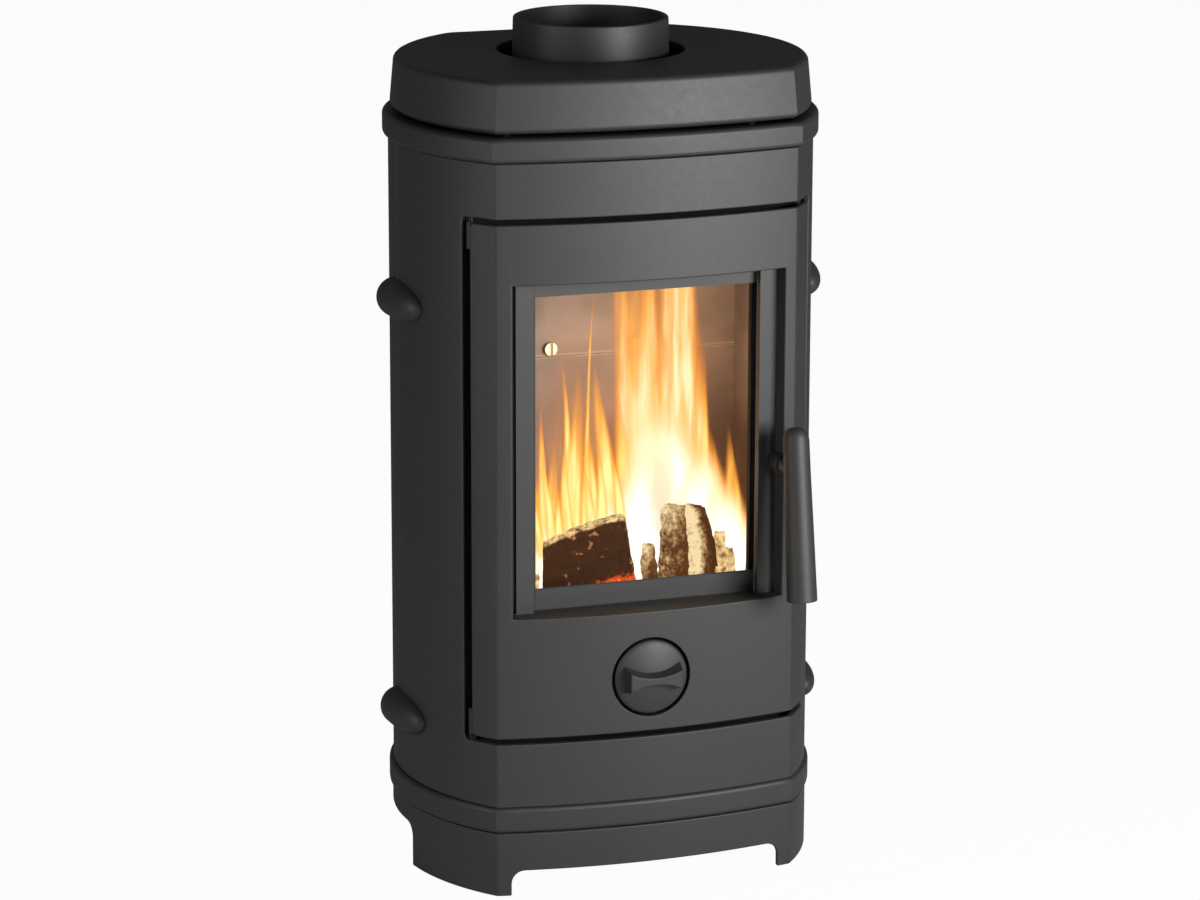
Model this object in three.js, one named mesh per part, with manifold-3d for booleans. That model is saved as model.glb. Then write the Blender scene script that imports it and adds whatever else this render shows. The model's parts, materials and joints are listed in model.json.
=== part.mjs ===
// A cast-iron room stove with a bowed glass door, built as an assembly of separate pieces.
// Millimetres, +Z up. The front faces -Y and +X is on the right of someone who faces the door.
// While it is built, the flue stands on x = 0, y = 0 and the floor is z = 0.
import * as THREE from 'three';
import { mergeVertices } from 'three/addons/utils/BufferGeometryUtils.js';
import Module from 'manifold-3d';

const wasm = await Module();
wasm.setup();

// ---------------------------------------------------------------- driving dimensions
const seatGap = 0.3;              // between pieces that touch
const wall = 6;                   // cast wall of the shells, the base and the door skin

// the plan, seen from above
const seamY = -30.4;              // the two half shells meet here, at their widest
const bodyHalfWidth = 208.4;
const frontCornerInset = 55.55;   // of the front corners, from the widest part of the body
const frontCornerY = -175.35;
const frontBulge = 17.1;          // the bowed front stands this far ahead of its corners
const backFlatY = 148;
const backCornerRadius = 28;

// heights
const plinthHeight = 64.3;
const bottomRimHeight = 25.8;
const shellHeight = 638;
const topRimHeight = 23.6;
const lidGap = 3.4;
const lidHeight = 50;
const collarHeight = 101;         // above the top plate's floor

// the base
const plinthGrow = 0.8;           // outside the shells
const footFrontInset = 13.85;     // the arch between the two front feet ends this far inside the front corners
const footBackHalfGap = 92;
const frontArchHeight = 25.6;
const sideArchHeight = 43;
const sideArchFrontY = -62;
const sideArchBackInset = 30;      // the arch ends this far ahead of the flat back
const sideArchBackY = backFlatY - sideArchBackInset;
const archRadius = 13;

// rims of the bottom and top plates
const bottomRimGrow = 4.1;
const bottomRimFrontGrow = 1.5;
const topRimGrow = 5.6;
const topRimFrontGrow = 1.8;
const rimWidth = 14;
const plateThickness = 6;
const bottomPlateDrop = 3.4;      // hollow under the bottom plate
const topPlateThickness = 8;

// lid
const lidInset = 2.1;
const lidDraft = 3.4;
const lidEdgeRadius = 6;
const lidWall = 7;
const lidHoleGap = 0.6;           // round the flange of the collar
const lidFootRadius = 6;
const lidFootPlaces = [[-125, -115], [125, -115], [-85, 105], [85, 105]];

// flue collar
const collarRadius = 76.5;        // at the rim
const collarDraft = 2.4;          // wider than this at its base
const collarWall = 5;
const collarFlangeEdge = 6;       // beyond the middle of its bolts
const collarFlangeHeight = 6;
const collarBoltRoom = 2.7;       // between a bolt's head and the foot of the collar
const collarBoltRadius = 2.5;
const collarBoltHeadRadius = 4.4;
const collarBoltHeadHeight = 3.5;
const collarBoltLength = 16;

// ears with the bolts that draw the shells together
const earRadius = 20;
const earSunk = 2.4;              // the middle line of an ear is this far inside the body's side
const earBackY = -20;             // centre of the round rear end
const earStraight = 20;
const earNose = 50;               // of the tapering front end
const earTilt = 4;                // degrees; the nose follows the wall inwards
const earLowerRise = 64.3;        // above the foot of the shells
const earUpperDrop = 155.2;       // below the top of the shells
const earBoltOut = 7;             // from the middle line of the ear
const earBoltRadius = 4;
const earBoltHeadRadius = 6.2;
const earBoltHeadHeight = 5.5;
const earBoltSeatY = -14;
const earBoltLength = 40;
const boltSocketRadius = 3.4;
const boltSocketDepth = 3;

// door opening in the front shell
const openingAngle = 57.5;        // from straight ahead, about the middle of the seam
const openingSill = 64.3;         // above the foot of the shells
const openingHead = 53.4;         // below the top of the shells

// door
const doorGap = 5.5;              // above and below the door
const doorLeftAngle = 54.75;
const doorRightAngle = 56.3;
const windowLeftInset = 15.65;    // from the front corner
const windowRightInset = 12.35;
const windowSill = 127;           // above the foot of the opening
const windowHead = 64.3;          // below the top of the opening
const windowSkinAhead = 3.05;     // the skin beside the window, ahead of the front corners
const windowDraft = 3.2;          // the recess narrows by this on each side
const windowDepth = 12.35;        // of the ledge at the bottom of the recess, behind the front corners
const recessRunOut = 60;          // the recess is cut from this far ahead of the skin
const ledgeThickness = 8;
const paneLeftInset = 25.9;       // of the see-through opening in the ledge, from the recess
const paneRightInset = 20.6;
const paneHead = 4;
const recessWall = 5;
const ribThickness = 6;

// door rope and its channel
const ropeWidth = 7;
const ropeLip = 1.8;
const ropeLeftInset = 18.35;      // from the front corner
const ropeRightInset = 22.35;
const ropeSill = 17.5;            // above the foot of the opening
const ropeHead = 23.3;            // below the top of the opening
const ropeCorner = 14;
const channelDepth = 5;
const channelReach = 22;          // behind the face of the ledge

// frame behind the door
const frameGap = 5;               // to the door's rope channel
const frameThickness = 8;
const apertureLeftInset = 7.5;    // of the opening in the frame, from the middle of the rope
const apertureRightInset = 9.5;
const apertureSill = 8.5;
const apertureHead = 9;
const apertureCorner = 10;

// glass
const glassThickness = 4;
const glassGasket = 2;
const gasketWidth = 4.4;
const glassOverlapLeft = 12.7;
const glassOverlapRight = 4.6;
const glassOverlapBottom = 8;
const glassOverlapTop = 11;
const clipLeftInset = 26.3;       // from the see-through opening
const clipRightInset = 34.9;
const clipLength = 24;
const clipHeight = 24;
const clipThickness = 2.5;
const clipGrip = 9;               // how far a clip reaches over the glass
const clipBossRadius = 6;
const clipScrewRadius = 2.5;
const clipScrewHeadRadius = 4.5;
const clipScrewHeadHeight = 3;

// hinge
const hingeAngle = 55.5;
const hingeInset = 5.96;          // of the hinge axis under the skin, along the line to the middle of the seam
const pinRadius = 3;
const pinClearance = 0.3;
const hingeBarrelRadius = 5.5;
const hingeBarrelLength = 26;
const hingeLugRadius = 8.5;
const hingeLugLength = 30;
const pinReach = 22;              // into the barrel and into the lug
const pinShoulderRadius = 5;      // of the lower pin, which carries the door

// handle, its spindle and the latch
const handleInset = 10.15;        // from the front corner
const spindleRise = 259.8;        // above the foot of the opening
const spindleRadius = 4;
const boreClearance = 0.3;
const spindleBossRadius = 11.5;
const spindleBossAhead = 4.15;    // of the front corners
const handleStandOff = 34.65;     // of its middle line, ahead of the front corners
const handleNeckRadius = 9.5;
const handleTilt = 8;             // degrees; the lower end stands further out
const handleAbove = 44;           // from the spindle to the rounded upper end
const handleBelow = 127;
const handleUpperRadius = 13;
const handleLowerRadius = 15.1;
const camThickness = 6;
const camHubRadius = 6;
const camReach = 18;
const camHalfHeight = 5;
const camDepth = 8.5;             // behind the face of the ledge
const camNutRadius = 6;
const camNutHeight = 4;
const keeperOut = 7.3;            // from the spindle
const keeperWidth = 10;
const keeperDrop = 10;            // below the spindle
const keeperThickness = 7;
const keeperAhead = 17;           // of the frame
const keeperFootHeight = 30;
const keeperFootThickness = 4;
const keeperScrewRadius = 2;
const keeperScrewHeadRadius = 3.6;

// air dial
const dialRise = 60.3;            // above the foot of the opening
const dialHoleRadius = 40;
const dialRimGap = 3;
const dialSunk = 0.95;            // the dial's rim lies this far behind the foremost point of the front
const dialEdge = 7;
const dialCrown = 7;
const gripLength = 53;
const gripEnd = 19;
const gripWaist = 7;
const gripDraft = 4;
const gripStandOff = 18;          // of its face, ahead of the rim
const gripBaseAhead = 1;
const dialSpindleRadius = 4;
const dialSpindleReach = 17.5;    // behind the face of the ledge
const shutterRadius = 36;
const shutterThickness = 3;
const airHoleRadius = 9;
const airHoleCircle = 23;
const airHoles = 4;
const dialNutRadius = 7;
const dialNutHeight = 5;

// firebox
const shelfThickness = 6;
const shelfRise = 91.3;           // of its top, above the foot of the shells
const shelfInset = 31.9;          // from the widest part of the body
const shelfBackY = 66;
const hearthRise = 62;            // of its top, above the ash shelf
const hearthThickness = 8;
const legRadius = 8;
const legInset = 28.5;            // from the side of the shelf
const legY = [-114, 36];
const liningThickness = 8;
const liningInset = 40.4;         // inner faces of the side linings, from the widest part of the body
const liningBackY = 40;           // inner face of the back lining
const liningJointDrop = 241.2;    // below the top of the shells, as the two that follow
const sideLiningDrop = 123;
const backLiningDrop = 88.7;
const baffleThickness = 7;
const baffleFrontY = -25;
const liningScrewLeftX = -29;      // shows beside the flames in the photo
const liningScrewRightX = 62;      // hidden behind the flames in the photo
const liningScrewAbove = 8;       // above the joint of the back lining
const liningScrewRadius = 4;
const liningScrewHeadRadius = 7;
const liningScrewHeadHeight = 3.5;
const liningScrewSlot = 2;
const liningPostRadius = 9;
const liningScrewGrip = 24;

const grateHoleHalfWidth = 95;
const grateHoleY = [-98, 20];
const grateOverlap = 8;
const grateThickness = 10;
const grateSlotWidth = 9;
const grateSlotPitch = 19;
const grateSlots = 9;

const logGuardThickness = 7;
const logGuardHeight = 42;
const logGuardSlots = 8;
const logGuardSlotWidth = 16;

const ashPanHalfWidth = 112;
const ashPanY = [-116, 62];
const ashPanHeight = 46;
const ashPanWall = 2;
const ashPanHandleRadius = 3;
const ashPanHandleHalfWidth = 35;
const ashPanHandleDepth = 8;

// tie rods
const tieFrontInset = 26.4;       // from the widest part of the body
const tieFrontY = -80;
const tieRearInset = 88.4;
const tieRearY = 80;
const tieRadius = 4;
const tieHole = 0.4;
const tieNutRadius = 7.5;
const tieNutHeight = 6.5;
const tieEnd = 4;                 // of the rod above its nut

// ---------------------------------------------------------------- worked-out dimensions
const bottomPlateZ = plinthHeight + seatGap;
const shellZ = bottomPlateZ + bottomRimHeight + seatGap;
const shellTop = shellZ + shellHeight;
const topPlateZ = shellTop + seatGap;
const topPlateFloor = topPlateZ + topPlateThickness;
const topRimZ = topPlateZ + topRimHeight;
const lidZ = topRimZ + lidGap;
const lidTop = lidZ + lidHeight;
const collarBoltCircle = collarRadius + collarDraft + collarBoltRoom + collarBoltHeadRadius;
const collarFlangeRadius = collarBoltCircle + collarFlangeEdge;
const lidHoleRadius = collarFlangeRadius + lidHoleGap;
const frontCornerX = bodyHalfWidth - frontCornerInset;
const footFrontHalfGap = frontCornerX - footFrontInset;
const frontRadius = (frontCornerX ** 2 + frontBulge ** 2) / (2 * frontBulge);
const frontCentreY = frontCornerY - frontBulge + frontRadius;
const sideRadius = (frontCornerInset ** 2 + (seamY - frontCornerY) ** 2) / (2 * frontCornerInset);
const sideShift = sideRadius - bodyHalfWidth;
const degrees = Math.PI / 180;
const big = 2000;

const earX = bodyHalfWidth - earSunk;
const earBoltX = earX + earBoltOut;
const earHeights = [shellZ + earLowerRise, shellTop - earUpperDrop];

const openingBottom = shellZ + openingSill;
const openingTop = shellTop - openingHead;
const windowLeft = windowLeftInset - frontCornerX;
const windowRight = frontCornerX - windowRightInset;
const windowBottom = openingBottom + windowSill;
const windowTop = openingTop - windowHead;
const windowSkinY = frontCornerY - windowSkinAhead;
const windowDeepY = frontCornerY + windowDepth;
const paneLeft = windowLeft + paneLeftInset;
const paneRight = windowRight - paneRightInset;
const paneTop = windowTop - paneHead;
const ropeLeft = ropeLeftInset - frontCornerX;
const ropeRight = frontCornerX - ropeRightInset;
const ropeBottom = openingBottom + ropeSill;
const ropeTop = openingTop - ropeHead;
const channelEndY = windowDeepY + channelReach;
const frameFrontY = channelEndY + frameGap;
const apertureLeft = ropeLeft + apertureLeftInset;
const apertureRight = ropeRight - apertureRightInset;
const apertureBottom = ropeBottom + apertureSill;
const apertureTop = ropeTop - apertureHead;

const hingeRadius = sideSkinRadius(hingeAngle) - hingeInset;
const handleX = frontCornerX - handleInset;
const spindleZ = openingBottom + spindleRise;
const spindleBossFrontY = frontCornerY - spindleBossAhead;
const handleAxisY = frontCornerY - handleStandOff;
const camFrontY = windowDeepY + camDepth;
const keeperLeft = handleX + keeperOut;
const keeperRight = keeperLeft + keeperWidth;
const keeperFrontY = frameFrontY - keeperAhead;
const dialZ = openingBottom + dialRise;
const dialRimY = frontCornerY - frontBulge + dialSunk;
const gripFaceY = dialRimY - gripStandOff;
const gripBaseY = dialRimY - gripBaseAhead;
const dialSpindleEndY = windowDeepY + dialSpindleReach;

const shelfTop = shellZ + shelfRise;
const shelfHalfWidth = bodyHalfWidth - shelfInset;
const fireFloor = shelfTop + hearthRise;
const legX = shelfHalfWidth - legInset;
const liningX = bodyHalfWidth - liningInset;
const liningJointZ = shellTop - liningJointDrop;
const sideLiningTop = shellTop - sideLiningDrop;
const backLiningTop = shellTop - backLiningDrop;
const liningScrewZ = liningJointZ + liningScrewAbove;
const tiePlaces = [
  [tieFrontInset - bodyHalfWidth, tieFrontY],
  [bodyHalfWidth - tieFrontInset, tieFrontY],
  [tieRearInset - bodyHalfWidth, tieRearY],
  [bodyHalfWidth - tieRearInset, tieRearY],
];

// From the middle of the seam to the skin of a side, at an angle off straight ahead.
function sideSkinRadius(angle) {
  const ahead = Math.cos(angle * degrees);
  const aside = Math.sin(angle * degrees);
  return Math.sqrt(sideRadius ** 2 - (sideShift * ahead) ** 2) - sideShift * aside;
}

// ---------------------------------------------------------------- materials
const paint = (color, roughness, metalness) => new THREE.MeshStandardMaterial({ color, roughness, metalness });
const castPaint = () => paint(0x3f3f3e, 0.62, 0.35);
const steel = () => paint(0x8d8f91, 0.38, 0.9);
const blackSteel = () => paint(0x2b2b2b, 0.5, 0.6);
const lining = () => paint(0x6e5a4a, 0.9, 0.1);
const rope = () => paint(0xb9b4a6, 0.95, 0);
const glass = () => new THREE.MeshStandardMaterial({
  color: 0xd8dcda, roughness: 0.05, metalness: 0, transparent: true, opacity: 0.3,
});

// ---------------------------------------------------------------- solids
function solid(geometry) {
  const bare = geometry.index ? geometry.toNonIndexed() : geometry.clone();
  bare.deleteAttribute('normal');
  bare.deleteAttribute('uv');
  const merged = mergeVertices(bare, 1e-4);
  return new wasm.Manifold(new wasm.Mesh({
    numProp: 3,
    vertProperties: new Float32Array(merged.attributes.position.array),
    triVerts: new Uint32Array(merged.index.array),
  }));
}

function surface(body) {
  const mesh = body.getMesh();
  const geometry = new THREE.BufferGeometry();
  geometry.setAttribute('position', new THREE.BufferAttribute(mesh.vertProperties, 3));
  geometry.setIndex(new THREE.BufferAttribute(mesh.triVerts, 1));
  geometry.computeVertexNormals();
  return geometry;
}

const join = (first, ...rest) => rest.reduce((sum, next) => sum.add(next), first);
const cut = (first, ...rest) => rest.reduce((left, next) => left.subtract(next), first);

// A plan outline extruded upwards.
function upright(shape, low, high) {
  const geometry = new THREE.ExtrudeGeometry(shape, { depth: high - low, bevelEnabled: false, curveSegments: 4 });
  geometry.translate(0, 0, low);
  return solid(geometry);
}

// An outline drawn in x and z, extruded from the near y to the far y.
function facing(shape, nearY, farY) {
  const geometry = new THREE.ExtrudeGeometry(shape, { depth: farY - nearY, bevelEnabled: false, curveSegments: 4 });
  geometry.rotateX(Math.PI / 2);
  geometry.translate(0, farY, 0);
  return solid(geometry);
}

// An outline drawn in y and z, extruded along x.
function sideways(shape, lowX, highX) {
  const geometry = new THREE.ExtrudeGeometry(shape, { depth: highX - lowX, bevelEnabled: false, curveSegments: 4 });
  geometry.rotateX(Math.PI / 2);
  geometry.rotateZ(Math.PI / 2);
  geometry.translate(lowX, 0, 0);
  return solid(geometry);
}

function box(lowX, highX, lowY, highY, lowZ, highZ) {
  const geometry = new THREE.BoxGeometry(highX - lowX, highY - lowY, highZ - lowZ);
  geometry.translate((lowX + highX) / 2, (lowY + highY) / 2, (lowZ + highZ) / 2);
  return solid(geometry);
}

function post(x, y, radius, low, high, sides = 20) {
  const geometry = new THREE.CylinderGeometry(radius, radius, high - low, sides);
  geometry.rotateX(Math.PI / 2);
  geometry.translate(x, y, (low + high) / 2);
  return solid(geometry);
}

function rodAlongY(x, z, radius, nearY, farY, sides = 18) {
  const geometry = new THREE.CylinderGeometry(radius, radius, farY - nearY, sides);
  geometry.translate(x, (nearY + farY) / 2, z);
  return solid(geometry);
}

function roundedRectangle(left, right, low, high, radius) {
  const shape = new THREE.Shape();
  shape.moveTo(left + radius, low);
  shape.lineTo(right - radius, low);
  shape.absarc(right - radius, low + radius, radius, -Math.PI / 2, 0, false);
  shape.lineTo(right, high - radius);
  shape.absarc(right - radius, high - radius, radius, 0, Math.PI / 2, false);
  shape.lineTo(left + radius, high);
  shape.absarc(left + radius, high - radius, radius, Math.PI / 2, Math.PI, false);
  shape.lineTo(left, low + radius);
  shape.absarc(left + radius, low + radius, radius, Math.PI, 1.5 * Math.PI, false);
  return shape;
}

// Closed skin through outlines of equally many points, one above the other.
function loft(outlines, heights) {
  const count = outlines[0].length;
  const positions = [];
  outlines.forEach((outline, level) => outline.forEach((p) => positions.push(p.x, p.y, heights[level])));
  const index = [];
  for (let level = 0; level + 1 < outlines.length; level += 1) {
    for (let i = 0; i < count; i += 1) {
      const a = level * count + i;
      const b = level * count + ((i + 1) % count);
      index.push(a, b, b + count, a, b + count, a + count);
    }
  }
  const top = (outlines.length - 1) * count;
  THREE.ShapeUtils.triangulateShape(outlines[0], []).forEach(([a, b, c]) => index.push(a, c, b));
  THREE.ShapeUtils.triangulateShape(outlines.at(-1), []).forEach(([a, b, c]) => index.push(top + a, top + b, top + c));
  const geometry = new THREE.BufferGeometry();
  geometry.setAttribute('position', new THREE.Float32BufferAttribute(positions, 3));
  geometry.setIndex(index);
  return solid(geometry);
}

// ---------------------------------------------------------------- the plan
function arc(centreX, centreY, radius, start, end, steps) {
  const points = [];
  for (let i = 0; i < steps; i += 1) {
    const angle = start + ((end - start) * i) / steps;
    points.push(new THREE.Vector2(centreX + radius * Math.cos(angle), centreY + radius * Math.sin(angle)));
  }
  return points;
}

// The stove's outline, grown by a distance at the sides and back and by another at the bowed front.
// A rim is a true circle at its sides, where the body's sides are a little fuller.
function plan(grow, frontGrow = grow, isRim = false) {
  const sideR = (isRim ? bodyHalfWidth : sideRadius) + grow;
  const shift = isRim ? 0 : sideShift;
  const frontR = frontRadius + frontGrow;
  const rearR = bodyHalfWidth + grow;
  const backY = backFlatY + grow;
  // where the right side's circle meets the front's circle
  const dx = shift;
  const dy = frontCentreY - seamY;
  const apart = Math.hypot(dx, dy);
  const along = (sideR ** 2 - frontR ** 2 + apart ** 2) / (2 * apart);
  const across = Math.sqrt(sideR ** 2 - along ** 2);
  const corner = new THREE.Vector2(
    -shift + (along * dx) / apart + (across * dy) / apart,
    seamY + (along * dy) / apart - (across * dx) / apart,
  );
  const sideStart = Math.atan2(corner.y - seamY, corner.x + shift);
  const frontStart = Math.atan2(corner.y - frontCentreY, corner.x);
  const filletY = backY - backCornerRadius;
  const filletX = Math.sqrt((rearR - backCornerRadius) ** 2 - (filletY - seamY) ** 2);
  const rearEnd = Math.atan2(filletY - seamY, filletX);
  return [
    ...arc(-shift, seamY, sideR, sideStart, 0, 9),
    ...arc(0, seamY, rearR, 0, rearEnd, 10),
    ...arc(filletX, filletY, backCornerRadius, rearEnd, Math.PI / 2, 3),
    new THREE.Vector2(filletX, backY),
    ...arc(-filletX, filletY, backCornerRadius, Math.PI / 2, Math.PI - rearEnd, 3),
    ...arc(0, seamY, rearR, Math.PI - rearEnd, Math.PI, 10),
    ...arc(shift, seamY, sideR, Math.PI, Math.PI - sideStart, 9),
    ...arc(0, frontCentreY, frontR, -Math.PI - frontStart, frontStart, 12),
  ];
}

const planSolid = (low, high, ...growth) => upright(new THREE.Shape(plan(...growth)), low, high);

// A wedge about the middle of the seam, from one angle to the other off straight ahead.
function sector(leftAngle, rightAngle, low, high) {
  const toward = (angle) => new THREE.Vector2(
    big * Math.sin(angle * degrees),
    seamY - big * Math.cos(angle * degrees),
  );
  const shape = new THREE.Shape([new THREE.Vector2(0, seamY), toward(-leftAngle), toward(rightAngle)]);
  return upright(shape, low, high);
}

function onRing(angle, radius) {
  return new THREE.Vector2(radius * Math.sin(angle * degrees), seamY - radius * Math.cos(angle * degrees));
}

const hinge = onRing(-hingeAngle, hingeRadius);

// ---------------------------------------------------------------- base and rims
function makePlinth() {
  const top = plinthHeight;
  const ring = cut(planSolid(0, top, plinthGrow), planSolid(-1, top + 1, plinthGrow - wall));
  const frontArch = facing(
    roundedRectangle(-footFrontHalfGap, footFrontHalfGap, -big, frontArchHeight, archRadius), -big, seamY,
  );
  const backArch = facing(
    roundedRectangle(-footBackHalfGap, footBackHalfGap, -big, frontArchHeight, archRadius), seamY, big,
  );
  const sideArch = sideways(
    roundedRectangle(sideArchFrontY, sideArchBackY, -big, sideArchHeight, archRadius), -big, big,
  );
  return cut(ring, frontArch, backArch, sideArch);
}

function makeBottomPlate() {
  const low = bottomPlateZ;
  const high = low + bottomRimHeight;
  const floorLow = low + bottomPlateDrop;
  const floorHigh = floorLow + plateThickness;
  const disc = planSolid(low, high, bottomRimGrow, bottomRimFrontGrow, true);
  const inner = bottomRimGrow - rimWidth - bottomRimFrontGrow;
  const pocket = planSolid(floorHigh, high + 1, inner);
  const hollow = planSolid(low - 1, floorLow, inner);
  return cut(disc, pocket, hollow, ...tieHoles());
}

function makeTopPlate() {
  const disc = planSolid(topPlateZ, topRimZ, topRimGrow, topRimFrontGrow, true);
  const pocket = planSolid(topPlateFloor, topRimZ + 1, topRimGrow - rimWidth);
  const flue = post(0, 0, collarRadius - collarWall, topPlateZ - 1, topRimZ + 1, 48);
  return cut(disc, pocket, flue, ...tieHoles(), ...collarBoltPlaces().map(([x, y]) => (
    post(x, y, collarBoltRadius + boreClearance, topPlateZ - 1, topRimZ + 1, 16)
  )));
}

function tieHoles() {
  return tiePlaces.map(([x, y]) => post(x, y, tieRadius + tieHole, 0, big, 20));
}

function makeTieRod([x, y]) {
  const headTop = bottomPlateZ + bottomPlateDrop - seatGap;
  const end = topPlateFloor + seatGap + tieNutHeight + tieEnd;
  return join(
    post(x, y, tieNutRadius, headTop - tieNutHeight, headTop, 6),
    post(x, y, tieRadius, headTop - 1, end, 16),
  );
}

function makeTieNut([x, y]) {
  const low = topPlateFloor + seatGap;
  const nut = post(x, y, tieNutRadius, low, low + tieNutHeight, 6);
  return cut(nut, post(x, y, tieRadius + seatGap, low - 1, low + tieNutHeight + 1, 16));
}

// ---------------------------------------------------------------- shells
// Half a sphere behind, a short straight stretch, and half an ellipsoid for the nose.
function ears() {
  const quarter = [0, 0.25, 0.5, 0.75, 1].map((share) => (share * Math.PI) / 2);
  const profile = [
    ...quarter.map((t) => new THREE.Vector2(earRadius * Math.sin(t), -earRadius * Math.cos(t))),
    ...quarter.map((t) => new THREE.Vector2(earRadius * Math.cos(t), earStraight + earNose * Math.sin(t))),
  ];
  profile[0].x = 0;
  profile.at(-1).x = 0;
  const geometry = new THREE.LatheGeometry(profile, 14);
  return earHeights.flatMap((z) => [-1, 1].map((side) => {
    const ear = geometry.clone();
    ear.rotateZ(Math.PI - side * earTilt * degrees);
    ear.translate(side * earX, earBackY, z);
    return solid(ear);
  }));
}

function earBoltHoles() {
  const deepest = earBoltSeatY - earBoltLength - 1.5;
  return earHeights.flatMap((z) => [-earBoltX, earBoltX].flatMap((x) => [
    rodAlongY(x, z, earBoltRadius + boreClearance, deepest, earBoltSeatY + 1),
    rodAlongY(x, z, earBoltHeadRadius + boreClearance, earBoltSeatY, earBackY + big),
  ]));
}

function shellRing() {
  const top = shellTop;
  const ring = cut(planSolid(shellZ, top, 0), planSolid(shellZ - 1, top + 1, -wall));
  return cut(join(ring, ...ears()), ...earBoltHoles());
}

const aheadOfSeam = () => box(-big, big, -big, seamY - seatGap / 2, -big, big);
const behindSeam = () => box(-big, big, seamY + seatGap / 2, big, -big, big);

function makeFrontShell() {
  const opening = sector(openingAngle, openingAngle, openingBottom, openingTop);
  const within = planSolid(shellZ, shellTop, 0);
  const lugs = [
    post(hinge.x, hinge.y, hingeLugRadius, openingBottom - hingeLugLength, openingBottom),
    post(hinge.x, hinge.y, hingeLugRadius, openingTop, openingTop + hingeLugLength),
  ].map((lug) => lug.intersect(within));
  const bores = [
    post(hinge.x, hinge.y, pinRadius + pinClearance, openingBottom - pinReach - seatGap, openingBottom + 1),
    post(hinge.x, hinge.y, pinRadius + pinClearance, openingTop - 1, openingTop + pinReach + seatGap),
  ];
  return cut(join(cut(shellRing().intersect(aheadOfSeam()), opening), ...lugs), ...bores);
}

function makeRearShell() {
  const posts = [liningScrewLeftX, liningScrewRightX].map((x) => rodAlongY(
    x, liningScrewZ, liningPostRadius, liningBackY + liningThickness + seatGap, backFlatY - wall + 1,
  ));
  const bores = [liningScrewLeftX, liningScrewRightX].map((x) => rodAlongY(
    x, liningScrewZ, liningScrewRadius + boreClearance, liningBackY, liningBackY + liningScrewGrip,
  ));
  return cut(join(shellRing().intersect(behindSeam()), ...posts), ...bores);
}

function makeEarBolt(x, z) {
  const head = rodAlongY(x, z, earBoltHeadRadius, earBoltSeatY + seatGap, earBoltSeatY + earBoltHeadHeight);
  const shank = rodAlongY(x, z, earBoltRadius, earBoltSeatY - earBoltLength, earBoltSeatY + 1, 16);
  const socketY = earBoltSeatY + earBoltHeadHeight - boltSocketDepth;
  return cut(join(head, shank), rodAlongY(x, z, boltSocketRadius, socketY, socketY + big, 6));
}

// ---------------------------------------------------------------- lid and flue collar
function makeLid() {
  const low = -lidInset;
  const high = low - lidDraft;
  const rim = [
    plan(low),
    plan(high),
    plan(high - lidEdgeRadius * 0.3),
    plan(high - lidEdgeRadius),
  ];
  const levels = [lidZ, lidTop - lidEdgeRadius, lidTop - lidEdgeRadius * 0.3, lidTop];
  const hollow = planSolid(lidZ - 1, lidTop - lidWall, low - lidWall);
  const hole = post(0, 0, lidHoleRadius, lidZ, lidTop + 1, 48);
  const feet = lidFootPlaces.map(([x, y]) => (
    post(x, y, lidFootRadius, topPlateFloor + seatGap, lidTop - lidWall + 1, 16)
  ));
  return join(cut(loft(rim, levels), hollow, hole), ...feet);
}

function collarBoltPlaces() {
  return [90, 210, 330].map((angle) => [
    collarBoltCircle * Math.cos(angle * degrees),
    collarBoltCircle * Math.sin(angle * degrees),
  ]);
}

function makeCollar() {
  const base = topPlateFloor + seatGap;
  const top = topPlateFloor + collarHeight;
  const bore = collarRadius - collarWall;
  const profile = [
    [bore, base],
    [collarFlangeRadius, base],
    [collarFlangeRadius, base + collarFlangeHeight],
    [collarRadius + collarDraft, base + collarFlangeHeight],
    [collarRadius, top - 1],
    [collarRadius - 1, top],
    [bore + 1, top],
    [bore, top - 1],
    [bore, base],
  ].map(([x, y]) => new THREE.Vector2(x, y));
  const turned = new THREE.LatheGeometry(profile, 48);
  turned.rotateX(Math.PI / 2);
  return cut(solid(turned), ...collarBoltPlaces().map(([x, y]) => (
    post(x, y, collarBoltRadius + boreClearance, base - 1, base + collarFlangeHeight + 1, 16)
  )));
}

function makeCollarBolt([x, y]) {
  const seat = topPlateFloor + seatGap + collarFlangeHeight + seatGap;
  return join(
    post(x, y, collarBoltHeadRadius, seat, seat + collarBoltHeadHeight, 6),
    post(x, y, collarBoltRadius, seat - collarBoltLength, seat + 1, 12),
  );
}

// ---------------------------------------------------------------- door
const doorLow = openingBottom + doorGap;
const doorHigh = openingTop - doorGap;
const ledgeBackY = windowDeepY + ledgeThickness;

// The window recess, wider at the skin than at its ledge, and drawn out past the skin.
function windowRecess() {
  const outerY = windowSkinY - recessRunOut;
  const perDepth = windowDraft / (windowDeepY - windowSkinY);
  const outline = (y) => {
    const grow = (windowSkinY - y) * perDepth;
    return [
      new THREE.Vector2(windowLeft - grow, windowBottom),
      new THREE.Vector2(windowRight + grow, windowBottom),
      new THREE.Vector2(windowRight + grow, windowTop),
      new THREE.Vector2(windowLeft - grow, windowTop),
    ];
  };
  // lofted upwards from the far face, then laid over so that its height runs towards the viewer
  const lofted = loft([outline(windowDeepY), outline(outerY)], [0, windowDeepY - outerY]);
  return lofted.rotate([90, 0, 0]).translate([0, windowDeepY, 0]);
}

function ropeOutline(offset) {
  const radius = ropeCorner + offset;
  return roundedRectangle(ropeLeft - offset, ropeRight + offset, ropeBottom - offset, ropeTop + offset, radius);
}

function ringFacing(outer, inner, nearY, farY) {
  return cut(facing(outer, nearY, farY), facing(inner, nearY - 1, farY + 1));
}

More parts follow.
